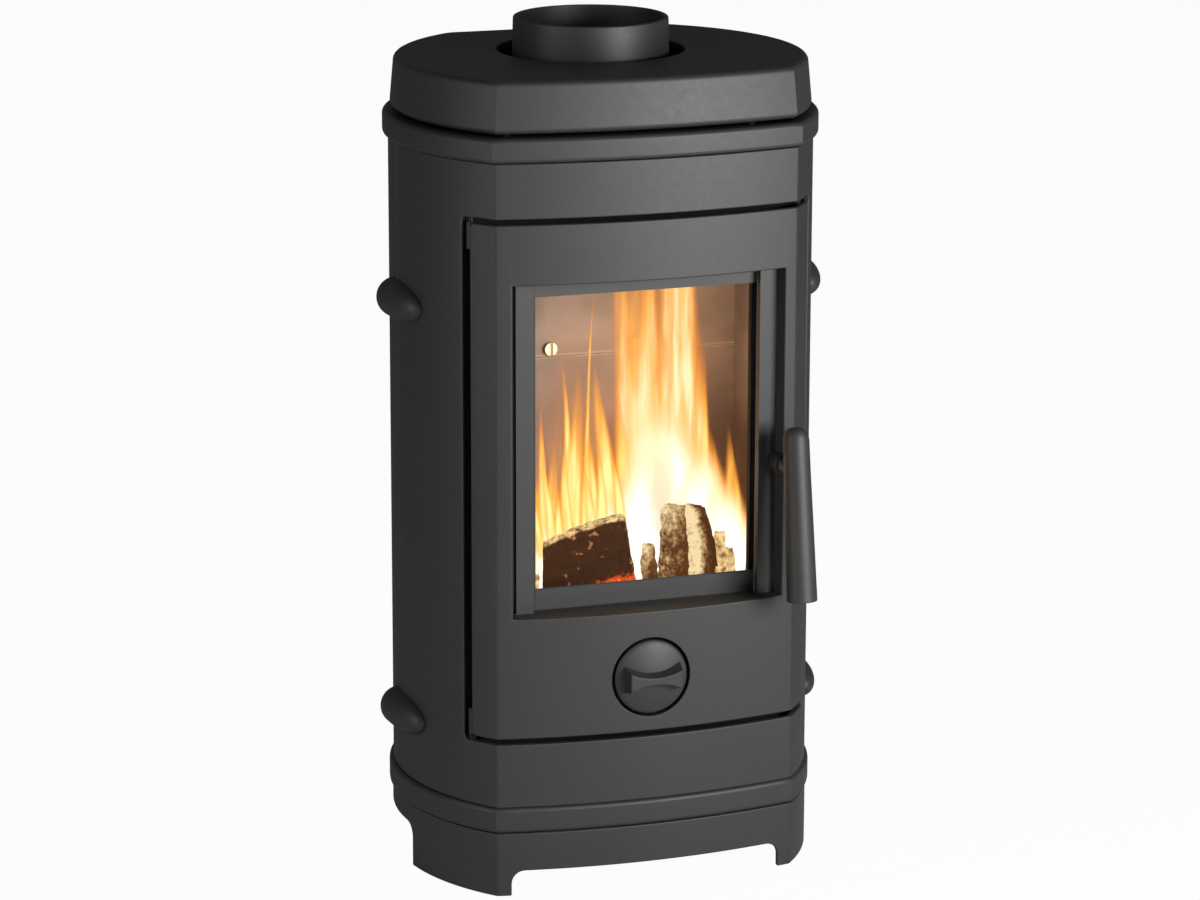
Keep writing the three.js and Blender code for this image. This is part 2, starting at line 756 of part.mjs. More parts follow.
function clipPlaces() {
  const low = windowBottom - glassOverlapBottom;
  const high = paneTop + glassOverlapTop;
  const left = paneLeft + clipLeftInset;
  const right = paneRight - clipRightInset;
  return [
    { x: left, edge: low, up: -1 },
    { x: right, edge: low, up: -1 },
    { x: left, edge: high, up: 1 },
    { x: right, edge: high, up: 1 },
  ].map((place) => ({
    ...place,
    screwZ: place.edge + place.up * ((clipHeight - clipGrip) / 2),
  }));
}

const clipFaceY = ledgeBackY + seatGap + glassGasket + seatGap + glassThickness;

function makeDoor() {
  const hollowLow = doorLow - 1;
  const hollowHigh = doorHigh + 1;
  const skin = cut(planSolid(doorLow, doorHigh, 0), planSolid(hollowLow, hollowHigh, -wall));
  const wrap = skin.intersect(sector(doorLeftAngle, doorRightAngle, hollowLow, hollowHigh));
  const behindSkin = planSolid(doorLow, doorHigh, -wall + 1);
  const half = ropeWidth / 2 + seatGap;
  const reach = half + ropeLip;
  const backPlate = facing(ropeOutline(reach), windowDeepY, ledgeBackY);
  const recessSleeve = box(
    windowLeft - recessWall, windowRight + recessWall, -big, windowDeepY + 1,
    windowBottom - recessWall, windowTop + recessWall,
  ).intersect(behindSkin);
  const ribs = [ropeBottom - reach, ropeTop + reach - ribThickness].map((z) => (
    box(ropeLeft - reach, ropeRight + reach, -big, ledgeBackY, z, z + ribThickness).intersect(behindSkin)
  ));
  const spindleBoss = rodAlongY(handleX, spindleZ, spindleBossRadius, spindleBossFrontY, ledgeBackY)
    .intersect(planSolid(doorLow, doorHigh, 3));
  const channelWall = ringFacing(ropeOutline(reach), ropeOutline(-reach), ledgeBackY - 1, channelEndY);
  const channel = ringFacing(ropeOutline(half), ropeOutline(-half), channelEndY - channelDepth, channelEndY + 1);
  const barrels = [doorLow, doorHigh - hingeBarrelLength].map((z) => (
    post(hinge.x, hinge.y, hingeBarrelRadius, z, z + hingeBarrelLength).intersect(planSolid(doorLow, doorHigh, 0))
  ));
  const clipBosses = clipPlaces().map(({ x, screwZ }) => (
    rodAlongY(x, screwZ, clipBossRadius, ledgeBackY - 1, clipFaceY, 16)
  ));
  const pane = box(paneLeft, paneRight, windowDeepY - 1, ledgeBackY + 1, windowBottom, paneTop);
  const dialHole = rodAlongY(0, dialZ, dialHoleRadius, -big, windowDeepY - 10, 36);
  const airPassages = airHolePlaces().map(([x, z]) => (
    rodAlongY(x, z, airHoleRadius, windowDeepY - 1, ledgeBackY + 1, 16)
  ));
  const dialBore = rodAlongY(0, dialZ, dialSpindleRadius + boreClearance, -big, ledgeBackY + 1);
  const dialBoss = rodAlongY(0, dialZ, dialSpindleRadius * 2.2, windowDeepY - 8, ledgeBackY);
  const spindleBore = rodAlongY(handleX, spindleZ, spindleRadius + boreClearance, -big, ledgeBackY + 1);
  const pinBores = [
    post(hinge.x, hinge.y, pinRadius + pinClearance, doorLow - 1, doorLow + pinReach + seatGap),
    post(hinge.x, hinge.y, pinRadius + pinClearance, doorHigh - pinReach - seatGap, doorHigh + 1),
  ];
  const screwBores = clipPlaces().map(({ x, screwZ }) => (
    rodAlongY(x, screwZ, clipScrewRadius + boreClearance, ledgeBackY - 2, clipFaceY + 1, 16)
  ));
  const framed = join(wrap, backPlate, recessSleeve, ...ribs);
  const opened = cut(framed, windowRecess(), pane, dialHole);
  const dressed = join(opened, spindleBoss, channelWall, dialBoss, ...barrels, ...clipBosses);
  return cut(dressed, channel, spindleBore, dialBore, ...airPassages, ...pinBores, ...screwBores);
}

function makeGasket() {
  const nearY = ledgeBackY + seatGap;
  const outer = glassRectangle(0);
  const inner = glassRectangle(-gasketWidth);
  return ringFacing(outer, inner, nearY, nearY + glassGasket);
}

function glassRectangle(grow) {
  return roundedRectangle(
    paneLeft - glassOverlapLeft - grow, paneRight + glassOverlapRight + grow,
    windowBottom - glassOverlapBottom - grow, paneTop + glassOverlapTop + grow, 1,
  );
}

function makeGlass() {
  const nearY = ledgeBackY + seatGap + glassGasket + seatGap;
  return facing(glassRectangle(0), nearY, nearY + glassThickness);
}

function makeClip({ x, edge, up }) {
  const nearY = clipFaceY + seatGap;
  const inner = edge - up * clipGrip;
  const outer = inner + up * clipHeight;
  const plate = box(
    x - clipLength / 2, x + clipLength / 2, nearY, nearY + clipThickness, Math.min(inner, outer), Math.max(inner, outer),
  );
  const screwZ = edge + up * ((clipHeight - clipGrip) / 2);
  return cut(plate, rodAlongY(x, screwZ, clipScrewRadius + boreClearance, nearY - 1, nearY + clipThickness + 1, 16));
}

function makeClipScrew({ x, screwZ }) {
  const seat = clipFaceY + seatGap + clipThickness + seatGap;
  const head = rodAlongY(x, screwZ, clipScrewHeadRadius, seat, seat + clipScrewHeadHeight, 16);
  const shank = rodAlongY(x, screwZ, clipScrewRadius, ledgeBackY - 1, seat + 1, 12);
  return join(head, shank);
}

function makeDoorRope() {
  const half = ropeWidth / 2;
  return ringFacing(
    ropeOutline(half), ropeOutline(-half), channelEndY - channelDepth + seatGap, frameFrontY - seatGap,
  );
}

function makeUpperHingePin() {
  return post(hinge.x, hinge.y, pinRadius, doorHigh - pinReach, openingTop + pinReach);
}

function makeLowerHingePin() {
  return join(
    post(hinge.x, hinge.y, pinRadius, openingBottom - pinReach, doorLow + pinReach),
    post(hinge.x, hinge.y, pinShoulderRadius, openingBottom + seatGap, doorLow - seatGap),
  );
}

// ---------------------------------------------------------------- handle and latch
function makeHandle() {
  const upper = handleAbove - handleUpperRadius;
  const profile = [[0, -handleBelow], [handleLowerRadius - 1.2, -handleBelow], [handleLowerRadius, -handleBelow + 1.2]];
  const domeSteps = 6;
  for (let i = 0; i <= domeSteps; i += 1) {
    const angle = (i / domeSteps) * (Math.PI / 2);
    profile.push([handleUpperRadius * Math.cos(angle), upper + handleUpperRadius * Math.sin(angle)]);
  }
  const turned = new THREE.LatheGeometry(profile.map(([x, y]) => new THREE.Vector2(Math.max(x, 0), y)), 28);
  turned.rotateX(Math.PI / 2);
  turned.rotateX(-handleTilt * degrees);
  turned.translate(handleX, handleAxisY, spindleZ);
  const neck = rodAlongY(handleX, spindleZ, handleNeckRadius, handleAxisY, spindleBossFrontY - seatGap);
  const socket = rodAlongY(handleX, spindleZ, spindleRadius + seatGap, handleAxisY, big, 20);
  return cut(join(solid(turned), neck), socket);
}

function makeSpindle() {
  return rodAlongY(
    handleX, spindleZ, spindleRadius, handleAxisY + seatGap, camFrontY + camThickness + seatGap + camNutHeight + 1, 20,
  );
}

function makeCam() {
  const backY = camFrontY + camThickness;
  const tongue = box(handleX, handleX + camReach, camFrontY, backY, spindleZ - camHalfHeight, spindleZ + camHalfHeight);
  const hub = rodAlongY(handleX, spindleZ, camHubRadius, camFrontY, backY);
  return cut(join(hub, tongue), rodAlongY(handleX, spindleZ, spindleRadius + seatGap, -big, big, 20));
}

function makeCamNut() {
  const nearY = camFrontY + camThickness + seatGap;
  const nut = rodAlongY(handleX, spindleZ, camNutRadius, nearY, nearY + camNutHeight, 6);
  return cut(nut, rodAlongY(handleX, spindleZ, spindleRadius + seatGap, -big, big, 20));
}

function keeperScrewPlaces() {
  const top = spindleZ - keeperDrop;
  return [top - keeperThickness - 7, top - keeperFootHeight + 5];
}

function makeKeeper() {
  const top = spindleZ - keeperDrop;
  const faceY = frameFrontY - seatGap;
  const arm = box(keeperLeft, keeperRight, keeperFrontY, faceY, top - keeperThickness, top);
  const foot = box(keeperLeft, keeperRight, faceY - keeperFootThickness, faceY, top - keeperFootHeight, top);
  const middle = (keeperLeft + keeperRight) / 2;
  return cut(join(arm, foot), ...keeperScrewPlaces().map((z) => (
    rodAlongY(middle, z, keeperScrewRadius + boreClearance, -big, 0, 12)
  )));
}

function makeKeeperScrew(z) {
  const middle = (keeperLeft + keeperRight) / 2;
  const seat = frameFrontY - seatGap - keeperFootThickness - seatGap;
  const head = rodAlongY(middle, z, keeperScrewHeadRadius, seat - 2, seat, 12);
  const shank = rodAlongY(middle, z, keeperScrewRadius, seat - 1, frameFrontY + frameThickness - 1, 12);
  return join(head, shank);
}

// ---------------------------------------------------------------- air dial
function airHolePlaces() {
  return Array.from({ length: airHoles }, (_, i) => {
    const angle = ((i + 0.5) / airHoles) * 2 * Math.PI;
    return [airHoleCircle * Math.cos(angle), dialZ + airHoleCircle * Math.sin(angle)];
  });
}

function gripOutline(length, end, waist) {
  const shape = new THREE.Shape();
  shape.moveTo(-length / 2, -end / 2);
  shape.quadraticCurveTo(0, -end / 2 + (end - waist), length / 2, -end / 2);
  shape.lineTo(length / 2, end / 2);
  shape.quadraticCurveTo(0, end / 2 - (end - waist), -length / 2, end / 2);
  return shape;
}

function makeDial() {
  const radius = dialHoleRadius - dialRimGap;
  const crownRadius = (radius ** 2 + dialCrown ** 2) / (2 * dialCrown);
  const profile = [[0, -dialEdge], [radius - 1, -dialEdge], [radius, -dialEdge + 1]];
  const steps = 7;
  const half = Math.asin(radius / crownRadius);
  for (let i = 0; i <= steps; i += 1) {
    const angle = half * (1 - i / steps);
    profile.push([Math.max(crownRadius * Math.sin(angle), 0), crownRadius * Math.cos(angle) - crownRadius + dialCrown]);
  }
  const turned = new THREE.LatheGeometry(profile.map(([x, y]) => new THREE.Vector2(x, y)), 36);
  turned.rotateZ(Math.PI);
  turned.translate(0, dialRimY, dialZ);
  const lengths = [gripLength + gripDraft, gripLength];
  const ends = [gripEnd + gripDraft * 2, gripEnd];
  const waists = [gripWaist + gripDraft * 2, gripWaist];
  const outlines = [0, 1].map((i) => gripOutline(lengths[i], ends[i], waists[i]).getPoints(6));
  const grip = loft(outlines, [0, gripBaseY - gripFaceY]).rotate([90, 0, 0]).translate([0, gripBaseY, dialZ]);
  const spindle = rodAlongY(0, dialZ, dialSpindleRadius, dialRimY + 2, dialSpindleEndY, 20);
  return join(solid(turned), grip, spindle);
}

function makeShutter() {
  const nearY = ledgeBackY + seatGap;
  const disc = rodAlongY(0, dialZ, shutterRadius, nearY, nearY + shutterThickness, 32);
  return cut(
    disc,
    rodAlongY(0, dialZ, dialSpindleRadius + seatGap, -big, big, 20),
    ...airHolePlaces().map(([x, z]) => rodAlongY(x, z, airHoleRadius, -big, big, 16)),
  );
}

function makeDialNut() {
  const nearY = ledgeBackY + seatGap + shutterThickness + seatGap;
  const nut = rodAlongY(0, dialZ, dialNutRadius, nearY, nearY + dialNutHeight, 6);
  return cut(nut, rodAlongY(0, dialZ, dialSpindleRadius + seatGap, -big, big, 20));
}

// ---------------------------------------------------------------- inside
const frameBackY = frameFrontY + frameThickness;

function makeFrontFrame() {
  const plate = box(-big, big, frameFrontY, frameBackY, shellZ, shellTop)
    .intersect(planSolid(shellZ, shellTop, -wall - seatGap));
  const aperture = facing(
    roundedRectangle(apertureLeft, apertureRight, apertureBottom, apertureTop, apertureCorner), -big, big,
  );
  const screws = keeperScrewPlaces().map((z) => rodAlongY(
    (keeperLeft + keeperRight) / 2, z, keeperScrewRadius + boreClearance, -big, frameBackY - seatGap, 12,
  ));
  const hingeRoom = [
    [openingBottom - hingeLugLength, doorLow + hingeBarrelLength],
    [doorHigh - hingeBarrelLength, openingTop + hingeLugLength],
  ].map(([low, high]) => post(hinge.x, hinge.y, hingeLugRadius + seatGap, low - seatGap, high + seatGap));
  return cut(plate, aperture, ...hingeRoom, ...screws);
}

// A plate across the inside of the shells, behind the frame.
function shelf(low, high) {
  return box(-shelfHalfWidth, shelfHalfWidth, frameBackY + seatGap, shelfBackY, low, high)
    .intersect(planSolid(low, high, -wall - 1));
}

function legs(top, bottom) {
  return legY.flatMap((y) => [-legX, legX].map((x) => post(x, y, legRadius, bottom, top + 1, 16)));
}

function makeAshShelf() {
  const low = shelfTop - shelfThickness;
  const footZ = bottomPlateZ + bottomPlateDrop + plateThickness + seatGap;
  return join(shelf(low, shelfTop), ...legs(low, footZ));
}

function makeHearth() {
  const low = fireFloor - hearthThickness;
  const hole = box(-grateHoleHalfWidth, grateHoleHalfWidth, grateHoleY[0], grateHoleY[1], low - 1, fireFloor + 1);
  return join(cut(shelf(low, fireFloor), hole), ...legs(low, shelfTop + seatGap));
}

function makeGrate() {
  const low = fireFloor + seatGap;
  const plate = box(
    -grateHoleHalfWidth - grateOverlap, grateHoleHalfWidth + grateOverlap,
    grateHoleY[0] - grateOverlap, grateHoleY[1] + grateOverlap, low, low + grateThickness,
  );
  const slots = Array.from({ length: grateSlots }, (_, i) => {
    const x = (i - (grateSlots - 1) / 2) * grateSlotPitch;
    const half = grateSlotWidth / 2;
    return box(x - half, x + half, grateHoleY[0] + half, grateHoleY[1] - half, low - 1, low + grateThickness + 1);
  });
  return cut(plate, ...slots);
}

function makeSideLining(side) {
  const inner = side * liningX;
  const outer = side * (liningX + liningThickness);
  return box(
    Math.min(inner, outer), Math.max(inner, outer), frameBackY + seatGap, liningBackY - seatGap,
    fireFloor + seatGap, sideLiningTop,
  );
}

function liningScrewHoles() {
  const farY = liningBackY + liningThickness + 1;
  return [liningScrewLeftX, liningScrewRightX].map((x) => (
    rodAlongY(x, liningScrewZ, liningScrewRadius + boreClearance, liningBackY - 1, farY, 16)
  ));
}

function makeBackLining(low, high) {
  const half = liningX + liningThickness - 1;
  return cut(box(-half, half, liningBackY, liningBackY + liningThickness, low, high), ...liningScrewHoles());
}

function makeLiningScrew(x) {
  const seat = liningBackY - seatGap;
  const head = rodAlongY(x, liningScrewZ, liningScrewHeadRadius, seat - liningScrewHeadHeight, seat, 20);
  const shank = rodAlongY(x, liningScrewZ, liningScrewRadius, seat - 1, liningBackY + liningScrewGrip - seatGap, 16);
  const half = liningScrewSlot / 2;
  const slotY = seat - liningScrewHeadHeight + 1.5;
  const reach = liningScrewHeadRadius + 1;
  const slot = box(x - half, x + half, -big, slotY, liningScrewZ - reach, liningScrewZ + reach);
  return cut(join(head, shank), slot);
}

function makeBaffle() {
  const half = liningX + liningThickness;
  const low = sideLiningTop + seatGap;
  return box(-half, half, baffleFrontY, liningBackY - seatGap, low, low + baffleThickness);
}

function makeLogGuard() {
  const low = fireFloor + seatGap;
  const half = liningX - seatGap;
  const nearY = frameBackY + seatGap;
  const bar = box(-half, half, nearY, nearY + logGuardThickness, low, low + logGuardHeight);
  const pitch = (2 * half) / (logGuardSlots + 1);
  const slots = Array.from({ length: logGuardSlots }, (_, i) => {
    const x = -half + (i + 1) * pitch;
    return box(x - logGuardSlotWidth / 2, x + logGuardSlotWidth / 2, -big, 0, low + 10, low + logGuardHeight - 8);
  });
  return cut(bar, ...slots);
}

function makeAshPan() {
  const low = shelfTop + seatGap;
  const high = low + ashPanHeight;
  const tray = cut(
    box(-ashPanHalfWidth, ashPanHalfWidth, ashPanY[0], ashPanY[1], low, high),
    box(
      -ashPanHalfWidth + ashPanWall, ashPanHalfWidth - ashPanWall,
      ashPanY[0] + ashPanWall, ashPanY[1] - ashPanWall, low + ashPanWall, high + 1,
    ),
  );
  const z = low + ashPanHeight / 2;
  const frontY = ashPanY[0] - ashPanHandleDepth;
  const bar = solid(new THREE.CylinderGeometry(
    ashPanHandleRadius, ashPanHandleRadius, 2 * ashPanHandleHalfWidth, 12,
  ).rotateZ(Math.PI / 2).translate(0, frontY, z));
  const stems = [-1, 1].map((side) => rodAlongY(
    side * (ashPanHandleHalfWidth - ashPanHandleRadius), z, ashPanHandleRadius, frontY, ashPanY[0] + 1, 12,
  ));
  return join(tray, bar, ...stems);
}

// ---------------------------------------------------------------- assembly
const stove = new THREE.Group();

function add(name, body, material) {
  const mesh = new THREE.Mesh(surface(body), material);
  mesh.name = name;
  stove.add(mesh);
}

add('plinth', makePlinth(), castPaint());
add('bottom_plate', makeBottomPlate(), castPaint());
add('front_shell', makeFrontShell(), castPaint());
add('rear_shell', makeRearShell(), castPaint());
add('top_plate', makeTopPlate(), castPaint());
add('lid', makeLid(), castPaint());
add('flue_collar', makeCollar(), castPaint());
collarBoltPlaces().forEach((place, i) => add(`collar_bolt_${i + 1}`, makeCollarBolt(place), blackSteel()));
earHeights.forEach((z, i) => [-1, 1].forEach((side) => add(
  `ear_bolt_${['lower', 'upper'][i]}_${side < 0 ? 'left' : 'right'}`, makeEarBolt(side * earBoltX, z), blackSteel(),
)));
tiePlaces.forEach((place, i) => {
  const where = ['front_left', 'front_right', 'rear_left', 'rear_right'][i];
  add(`tie_rod_${where}`, makeTieRod(place), steel());
  add(`tie_nut_${where}`, makeTieNut(place), steel());
});

add('front_frame', makeFrontFrame(), castPaint());
add('ash_shelf', makeAshShelf(), blackSteel());
add('hearth_plate', makeHearth(), lining());
add('grate', makeGrate(), lining());
add('ash_pan', makeAshPan(), steel());
add('log_guard', makeLogGuard(), lining());
add('side_lining_left', makeSideLining(-1), lining());
add('side_lining_right', makeSideLining(1), lining());
add('back_lining_lower', makeBackLining(fireFloor + seatGap, liningJointZ - seatGap / 2), lining());
add('back_lining_upper', makeBackLining(liningJointZ + seatGap / 2, backLiningTop), lining());
add('lining_screw_left', makeLiningScrew(liningScrewLeftX), steel());
add('lining_screw_right', makeLiningScrew(liningScrewRightX), steel());
add('baffle', makeBaffle(), lining());
add('latch_keeper', makeKeeper(), steel());
keeperScrewPlaces().forEach((z, i) => add(`keeper_screw_${['upper', 'lower'][i]}`, makeKeeperScrew(z), steel()));
add('hinge_pin_lower', makeLowerHingePin(), steel());
add('hinge_pin_upper', makeUpperHingePin(), steel());

add('door', makeDoor(), castPaint());
add('window_gasket', makeGasket(), rope());
add('window_glass', makeGlass(), glass());
clipPlaces().forEach((place, i) => {
  const where = ['lower_left', 'lower_right', 'upper_left', 'upper_right'][i];
  add(`glass_clip_${where}`, makeClip(place), blackSteel());
  add(`clip_screw_${where}`, makeClipScrew(place), steel());
});
add('door_rope', makeDoorRope(), rope());

add('handle', makeHandle(), castPaint());
add('handle_spindle', makeSpindle(), steel());
add('latch_cam', makeCam(), steel());
add('cam_nut', makeCamNut(), steel());

add('air_dial', makeDial(), castPaint());
add('air_shutter', makeShutter(), steel());
add('dial_nut', makeDialNut(), steel());

// the origin is the middle of the floor rectangle that the whole stove covers
const reach = new THREE.Box3().setFromObject(stove);
stove.position.set(-(reach.min.x + reach.max.x) / 2, -(reach.min.y + reach.max.y) / 2, -reach.min.z);

export default stove;
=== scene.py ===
# A cast-iron room stove with its fire lit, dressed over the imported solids.
# Metres, +Z up. The door faces -Y and +X is on the right of someone who faces it.
import json
import math

import bpy
from mathutils import Matrix, Vector, noise

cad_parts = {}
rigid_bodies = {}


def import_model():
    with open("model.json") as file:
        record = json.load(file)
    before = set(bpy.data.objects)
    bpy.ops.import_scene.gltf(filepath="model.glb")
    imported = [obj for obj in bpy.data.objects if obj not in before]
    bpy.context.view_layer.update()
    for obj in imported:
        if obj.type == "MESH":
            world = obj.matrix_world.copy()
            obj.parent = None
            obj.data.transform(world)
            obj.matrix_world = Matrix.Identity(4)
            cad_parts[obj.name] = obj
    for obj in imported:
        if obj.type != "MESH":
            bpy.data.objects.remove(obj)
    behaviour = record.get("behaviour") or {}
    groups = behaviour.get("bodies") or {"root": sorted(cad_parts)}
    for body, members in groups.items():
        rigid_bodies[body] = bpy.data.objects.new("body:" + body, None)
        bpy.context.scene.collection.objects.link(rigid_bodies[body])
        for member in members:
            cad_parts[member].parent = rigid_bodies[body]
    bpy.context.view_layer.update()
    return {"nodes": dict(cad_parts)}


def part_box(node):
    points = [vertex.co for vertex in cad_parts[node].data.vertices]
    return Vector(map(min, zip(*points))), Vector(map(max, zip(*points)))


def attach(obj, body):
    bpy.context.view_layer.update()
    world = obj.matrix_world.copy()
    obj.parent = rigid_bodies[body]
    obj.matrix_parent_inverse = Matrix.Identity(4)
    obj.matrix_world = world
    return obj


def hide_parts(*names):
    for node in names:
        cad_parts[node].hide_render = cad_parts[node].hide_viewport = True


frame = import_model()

# ---------------------------------------------------------------- camera
# The photograph was taken 4.3 m away with a long lens, from the left of the front and a little above.
# Places are measured in millimetres from the axis of the flue on the floor, as on the stove's drawing.
flue_low, flue_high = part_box("flue_collar")
flue_axis = Vector(((flue_low[0] + flue_high[0]) / 2, (flue_low[1] + flue_high[1]) / 2, 0))


def from_drawing(x, y, z):
    return flue_axis + Vector((x, y, z)) * 0.001


camera_right = Vector((0.9483, -0.317365, 0.002444))
camera_up = Vector((0.075733, 0.233759, 0.969341))
camera_back = Vector((-0.308206, -0.919041, 0.245709))
bpy.ops.object.camera_add()
camera = bpy.context.object
camera.matrix_world = Matrix.LocRotScale(
    from_drawing(-1341.35, -4032.03, 1474.78),
    Matrix((camera_right, camera_up, camera_back)).transposed(),
    None,
)
camera.data.sensor_fit = 'HORIZONTAL'
camera.data.sensor_width = 36
camera.data.lens = 130.617
camera.data.clip_end = 100
bpy.context.scene.camera = camera
bpy.context.scene.view_settings.view_transform = 'Standard'


# ---------------------------------------------------------------- studio
# A pale sweep of paper, a strong softbox in front on the right, a wide weak one on the left, and faint light
# from all round. The paper shows as white to the camera and through glass, and keeps a soft shadow.
def colour(hex_code):
    """The linear colour, with alpha, of an sRGB hex code such as '#3a3b39'."""
    parts = [int(hex_code[i:i + 2], 16) / 255 for i in (1, 3, 5)]
    return [p / 12.92 if p <= 0.04045 else ((p + 0.055) / 1.055) ** 2.4 for p in parts] + [1.0]


def add_node(tree, kind, settings=None, **inputs):
    """Adds a node, sets its properties, and fills or links its inputs (spaces written as _)."""
    made = tree.nodes.new(kind)
    for name, value in (settings or {}).items():
        setattr(made, name, value)
    for name, value in inputs.items():
        key = int(name[1:]) if name[0] == "i" and name[1:].isdigit() else name.replace("_", " ")
        if isinstance(value, bpy.types.NodeSocket):
            tree.links.new(value, made.inputs[key])
        else:
            made.inputs[key].default_value = value
    return made


def new_material(name):
    """An empty node material and its tree."""
    made = bpy.data.materials.new(name)
    made.use_nodes = True
    made.node_tree.nodes.clear()
    return made, made.node_tree


def maths(tree, operation, *values):
    """The result of a maths node."""
    inputs = {f"i{number}": value for number, value in enumerate(values)}
    return add_node(tree, 'ShaderNodeMath', {"operation": operation}, **inputs).outputs[0]


def lone_rays(tree):
    """1 on what the camera sees straight or through glass, little in gloss, and 0 for light on the object."""
    path = add_node(tree, 'ShaderNodeLightPath').outputs
    seen = maths(tree, 'MAXIMUM', path["Is Camera Ray"], path["Is Transmission Ray"])
    return maths(tree, 'MAXIMUM', seen, maths(tree, 'MULTIPLY', path["Is Glossy Ray"], 0.05))


world = bpy.data.worlds.new("studio")
bpy.context.scene.world = world
world.use_nodes = True
tree = world.node_tree
tree.nodes.clear()
room = add_node(tree, 'ShaderNodeBackground', Color=colour('#ffffff'), Strength=0.05)
white = add_node(tree, 'ShaderNodeBackground', Color=colour('#ffffff'), Strength=1.0)
either = add_node(tree, 'ShaderNodeMixShader', i0=lone_rays(tree), i1=room.outputs[0], i2=white.outputs[0])
add_node(tree, 'ShaderNodeOutputWorld', Surface=either.outputs[0])

paper, tree = new_material("white_paper")
sheet = add_node(tree, 'ShaderNodeBsdfDiffuse', Color=colour('#dcdcdc'))
glow = add_node(tree, 'ShaderNodeEmission', Color=colour('#ffffff'), Strength=1.0)
share = maths(tree, 'MULTIPLY', lone_rays(tree), 0.965)
both = add_node(tree, 'ShaderNodeMixShader', i0=share, i1=sheet.outputs[0], i2=glow.outputs[0])
add_node(tree, 'ShaderNodeOutputMaterial', Surface=both.outputs[0])

bpy.ops.object.select_all(action='DESELECT')
bpy.ops.mesh.primitive_plane_add(size=14, location=(0, 0, -0.0005))
floor = bpy.context.object
floor.name = "paper_floor"
floor.data.materials.append(paper)


def softbox(name, place, aim, width, height, watts, tint='#ffffff'):
    """An area lamp at a place on the drawing, turned to a point on it."""
    bpy.ops.object.light_add(type='AREA', location=from_drawing(*place))
    lamp = bpy.context.object
    lamp.name = name
    lamp.data.shape = 'RECTANGLE'
    lamp.data.size = width
    lamp.data.size_y = height
    lamp.data.energy = watts
    lamp.data.color = colour(tint)[:3]
    towards = from_drawing(*aim) - lamp.location
    lamp.rotation_euler = towards.to_track_quat('-Z', 'Y').to_euler()


softbox("key_softbox", (800, -1700, 790), (0, -150, 540), 0.7, 0.7, 43)
softbox("left_softbox", (-2300, -700, 900), (-150, 0, 400), 0.9, 1.6, 17)


# ---------------------------------------------------------------- plinth
# The base is a cast ring of the stove's own outline, 6 mm thick, with an arch cut in each side that
# leaves four feet. Like all the castings it has matt heat-resistant paint over the sand-cast skin.
def deselect():
    """Leaves edit mode with no object selected."""
    if bpy.context.object and bpy.context.object.mode != 'OBJECT':
        bpy.ops.object.mode_set(mode='OBJECT')
    bpy.ops.object.select_all(action='DESELECT')


def alone(obj):
    """Leaves edit mode and makes obj the only one selected."""
    deselect()
    bpy.context.view_layer.objects.active = obj
    obj.select_set(True)


def fresh(name, primitive, **settings):
    """Adds a primitive with nothing else selected, and leaves it with its place in its mesh."""
    deselect()
    scale = settings.pop("scale", None)
    getattr(bpy.ops.mesh, f"primitive_{primitive}_add")(**settings)
    made = bpy.context.object
    made.name = name
    if scale:
        made.scale = scale
    bpy.ops.object.transform_apply(location=True, rotation=True, scale=True)
    bpy.context.tool_settings.mesh_select_mode = (True, False, False)
    return made


def cylinder(name, radius, depth, place, vertices=40, level=False):
    """A round bar, upright or level from front to back."""
    turn = (math.pi / 2, 0, 0) if level else (0, 0, 0)
    return fresh(name, 'cylinder', vertices=vertices, radius=radius, depth=depth, rotation=turn,
                 location=place)


def select_all():
    bpy.ops.mesh.select_all(action='SELECT')


def pick(obj, faces=None, edges=None):
    """Goes into edit mode on obj with those faces or edges selected that pass a test, or with everything."""
    alone(obj)
    mesh = obj.data
    for parts in (mesh.vertices, mesh.edges, mesh.polygons):
        parts.foreach_set("select", [False] * len(parts))
    everything = edges is None and faces is None
    bpy.context.tool_settings.mesh_select_mode = (everything, edges is not None, faces is not None)
    if faces:
        for face in mesh.polygons:
            face.select = faces(face.center, face.normal)
    if edges:
        for edge in mesh.edges:
            edge.select = edges(*(mesh.vertices[i].co for i in edge.vertices))
    bpy.ops.object.mode_set(mode='EDIT')
    if everything:
        select_all()


def extrude(*shift):
    bpy.ops.mesh.extrude_region_move(TRANSFORM_OT_translate={"value": shift})


def round_off(radius, segments):
    """Rounds the selected edges."""
    bpy.ops.mesh.bevel(offset=radius, segments=segments, affect='EDGES')


def modify(obj, kind, **settings):
    """Adds a modifier and applies it."""
    alone(obj)
    modifier = obj.modifiers.new(kind.lower(), kind)
    for name, value in settings.items():
        setattr(modifier, name, value)
    bpy.ops.object.modifier_apply(modifier=modifier.name)


def carve(obj, tool, operation='DIFFERENCE'):
    """Cuts, joins or keeps what is common, and throws the tool away."""
    modify(obj, 'BOOLEAN', object=tool, operation=operation, solver='EXACT')
    bpy.data.objects.remove(tool)


def outwards(obj):
    pick(obj)
    bpy.ops.mesh.remove_doubles(threshold=0.001)
    bpy.ops.mesh.normals_make_consistent(inside=False)
    alone(obj)


def block(name, low, high, radius=0, along=None):
    """A box between two corners, with the edges that run along one axis rounded."""
    middle = [(a + b) / 2 for a, b in zip(low, high)]
    made = fresh(name, 'cube', size=1, location=middle, scale=[b - a for a, b in zip(low, high)])
    if radius:
        pick(made, edges=lambda a, b: abs((b - a)[along]) > 0.9 * (high[along] - low[along]))
        round_off(radius, 6)
        alone(made)
    return made


wall_thickness = 6
seam_y = -30.4
back_y = 148
body_half_width = 208.4
front_radius = 691.73
front_centre_y = 499.28
side_radius = 216.86


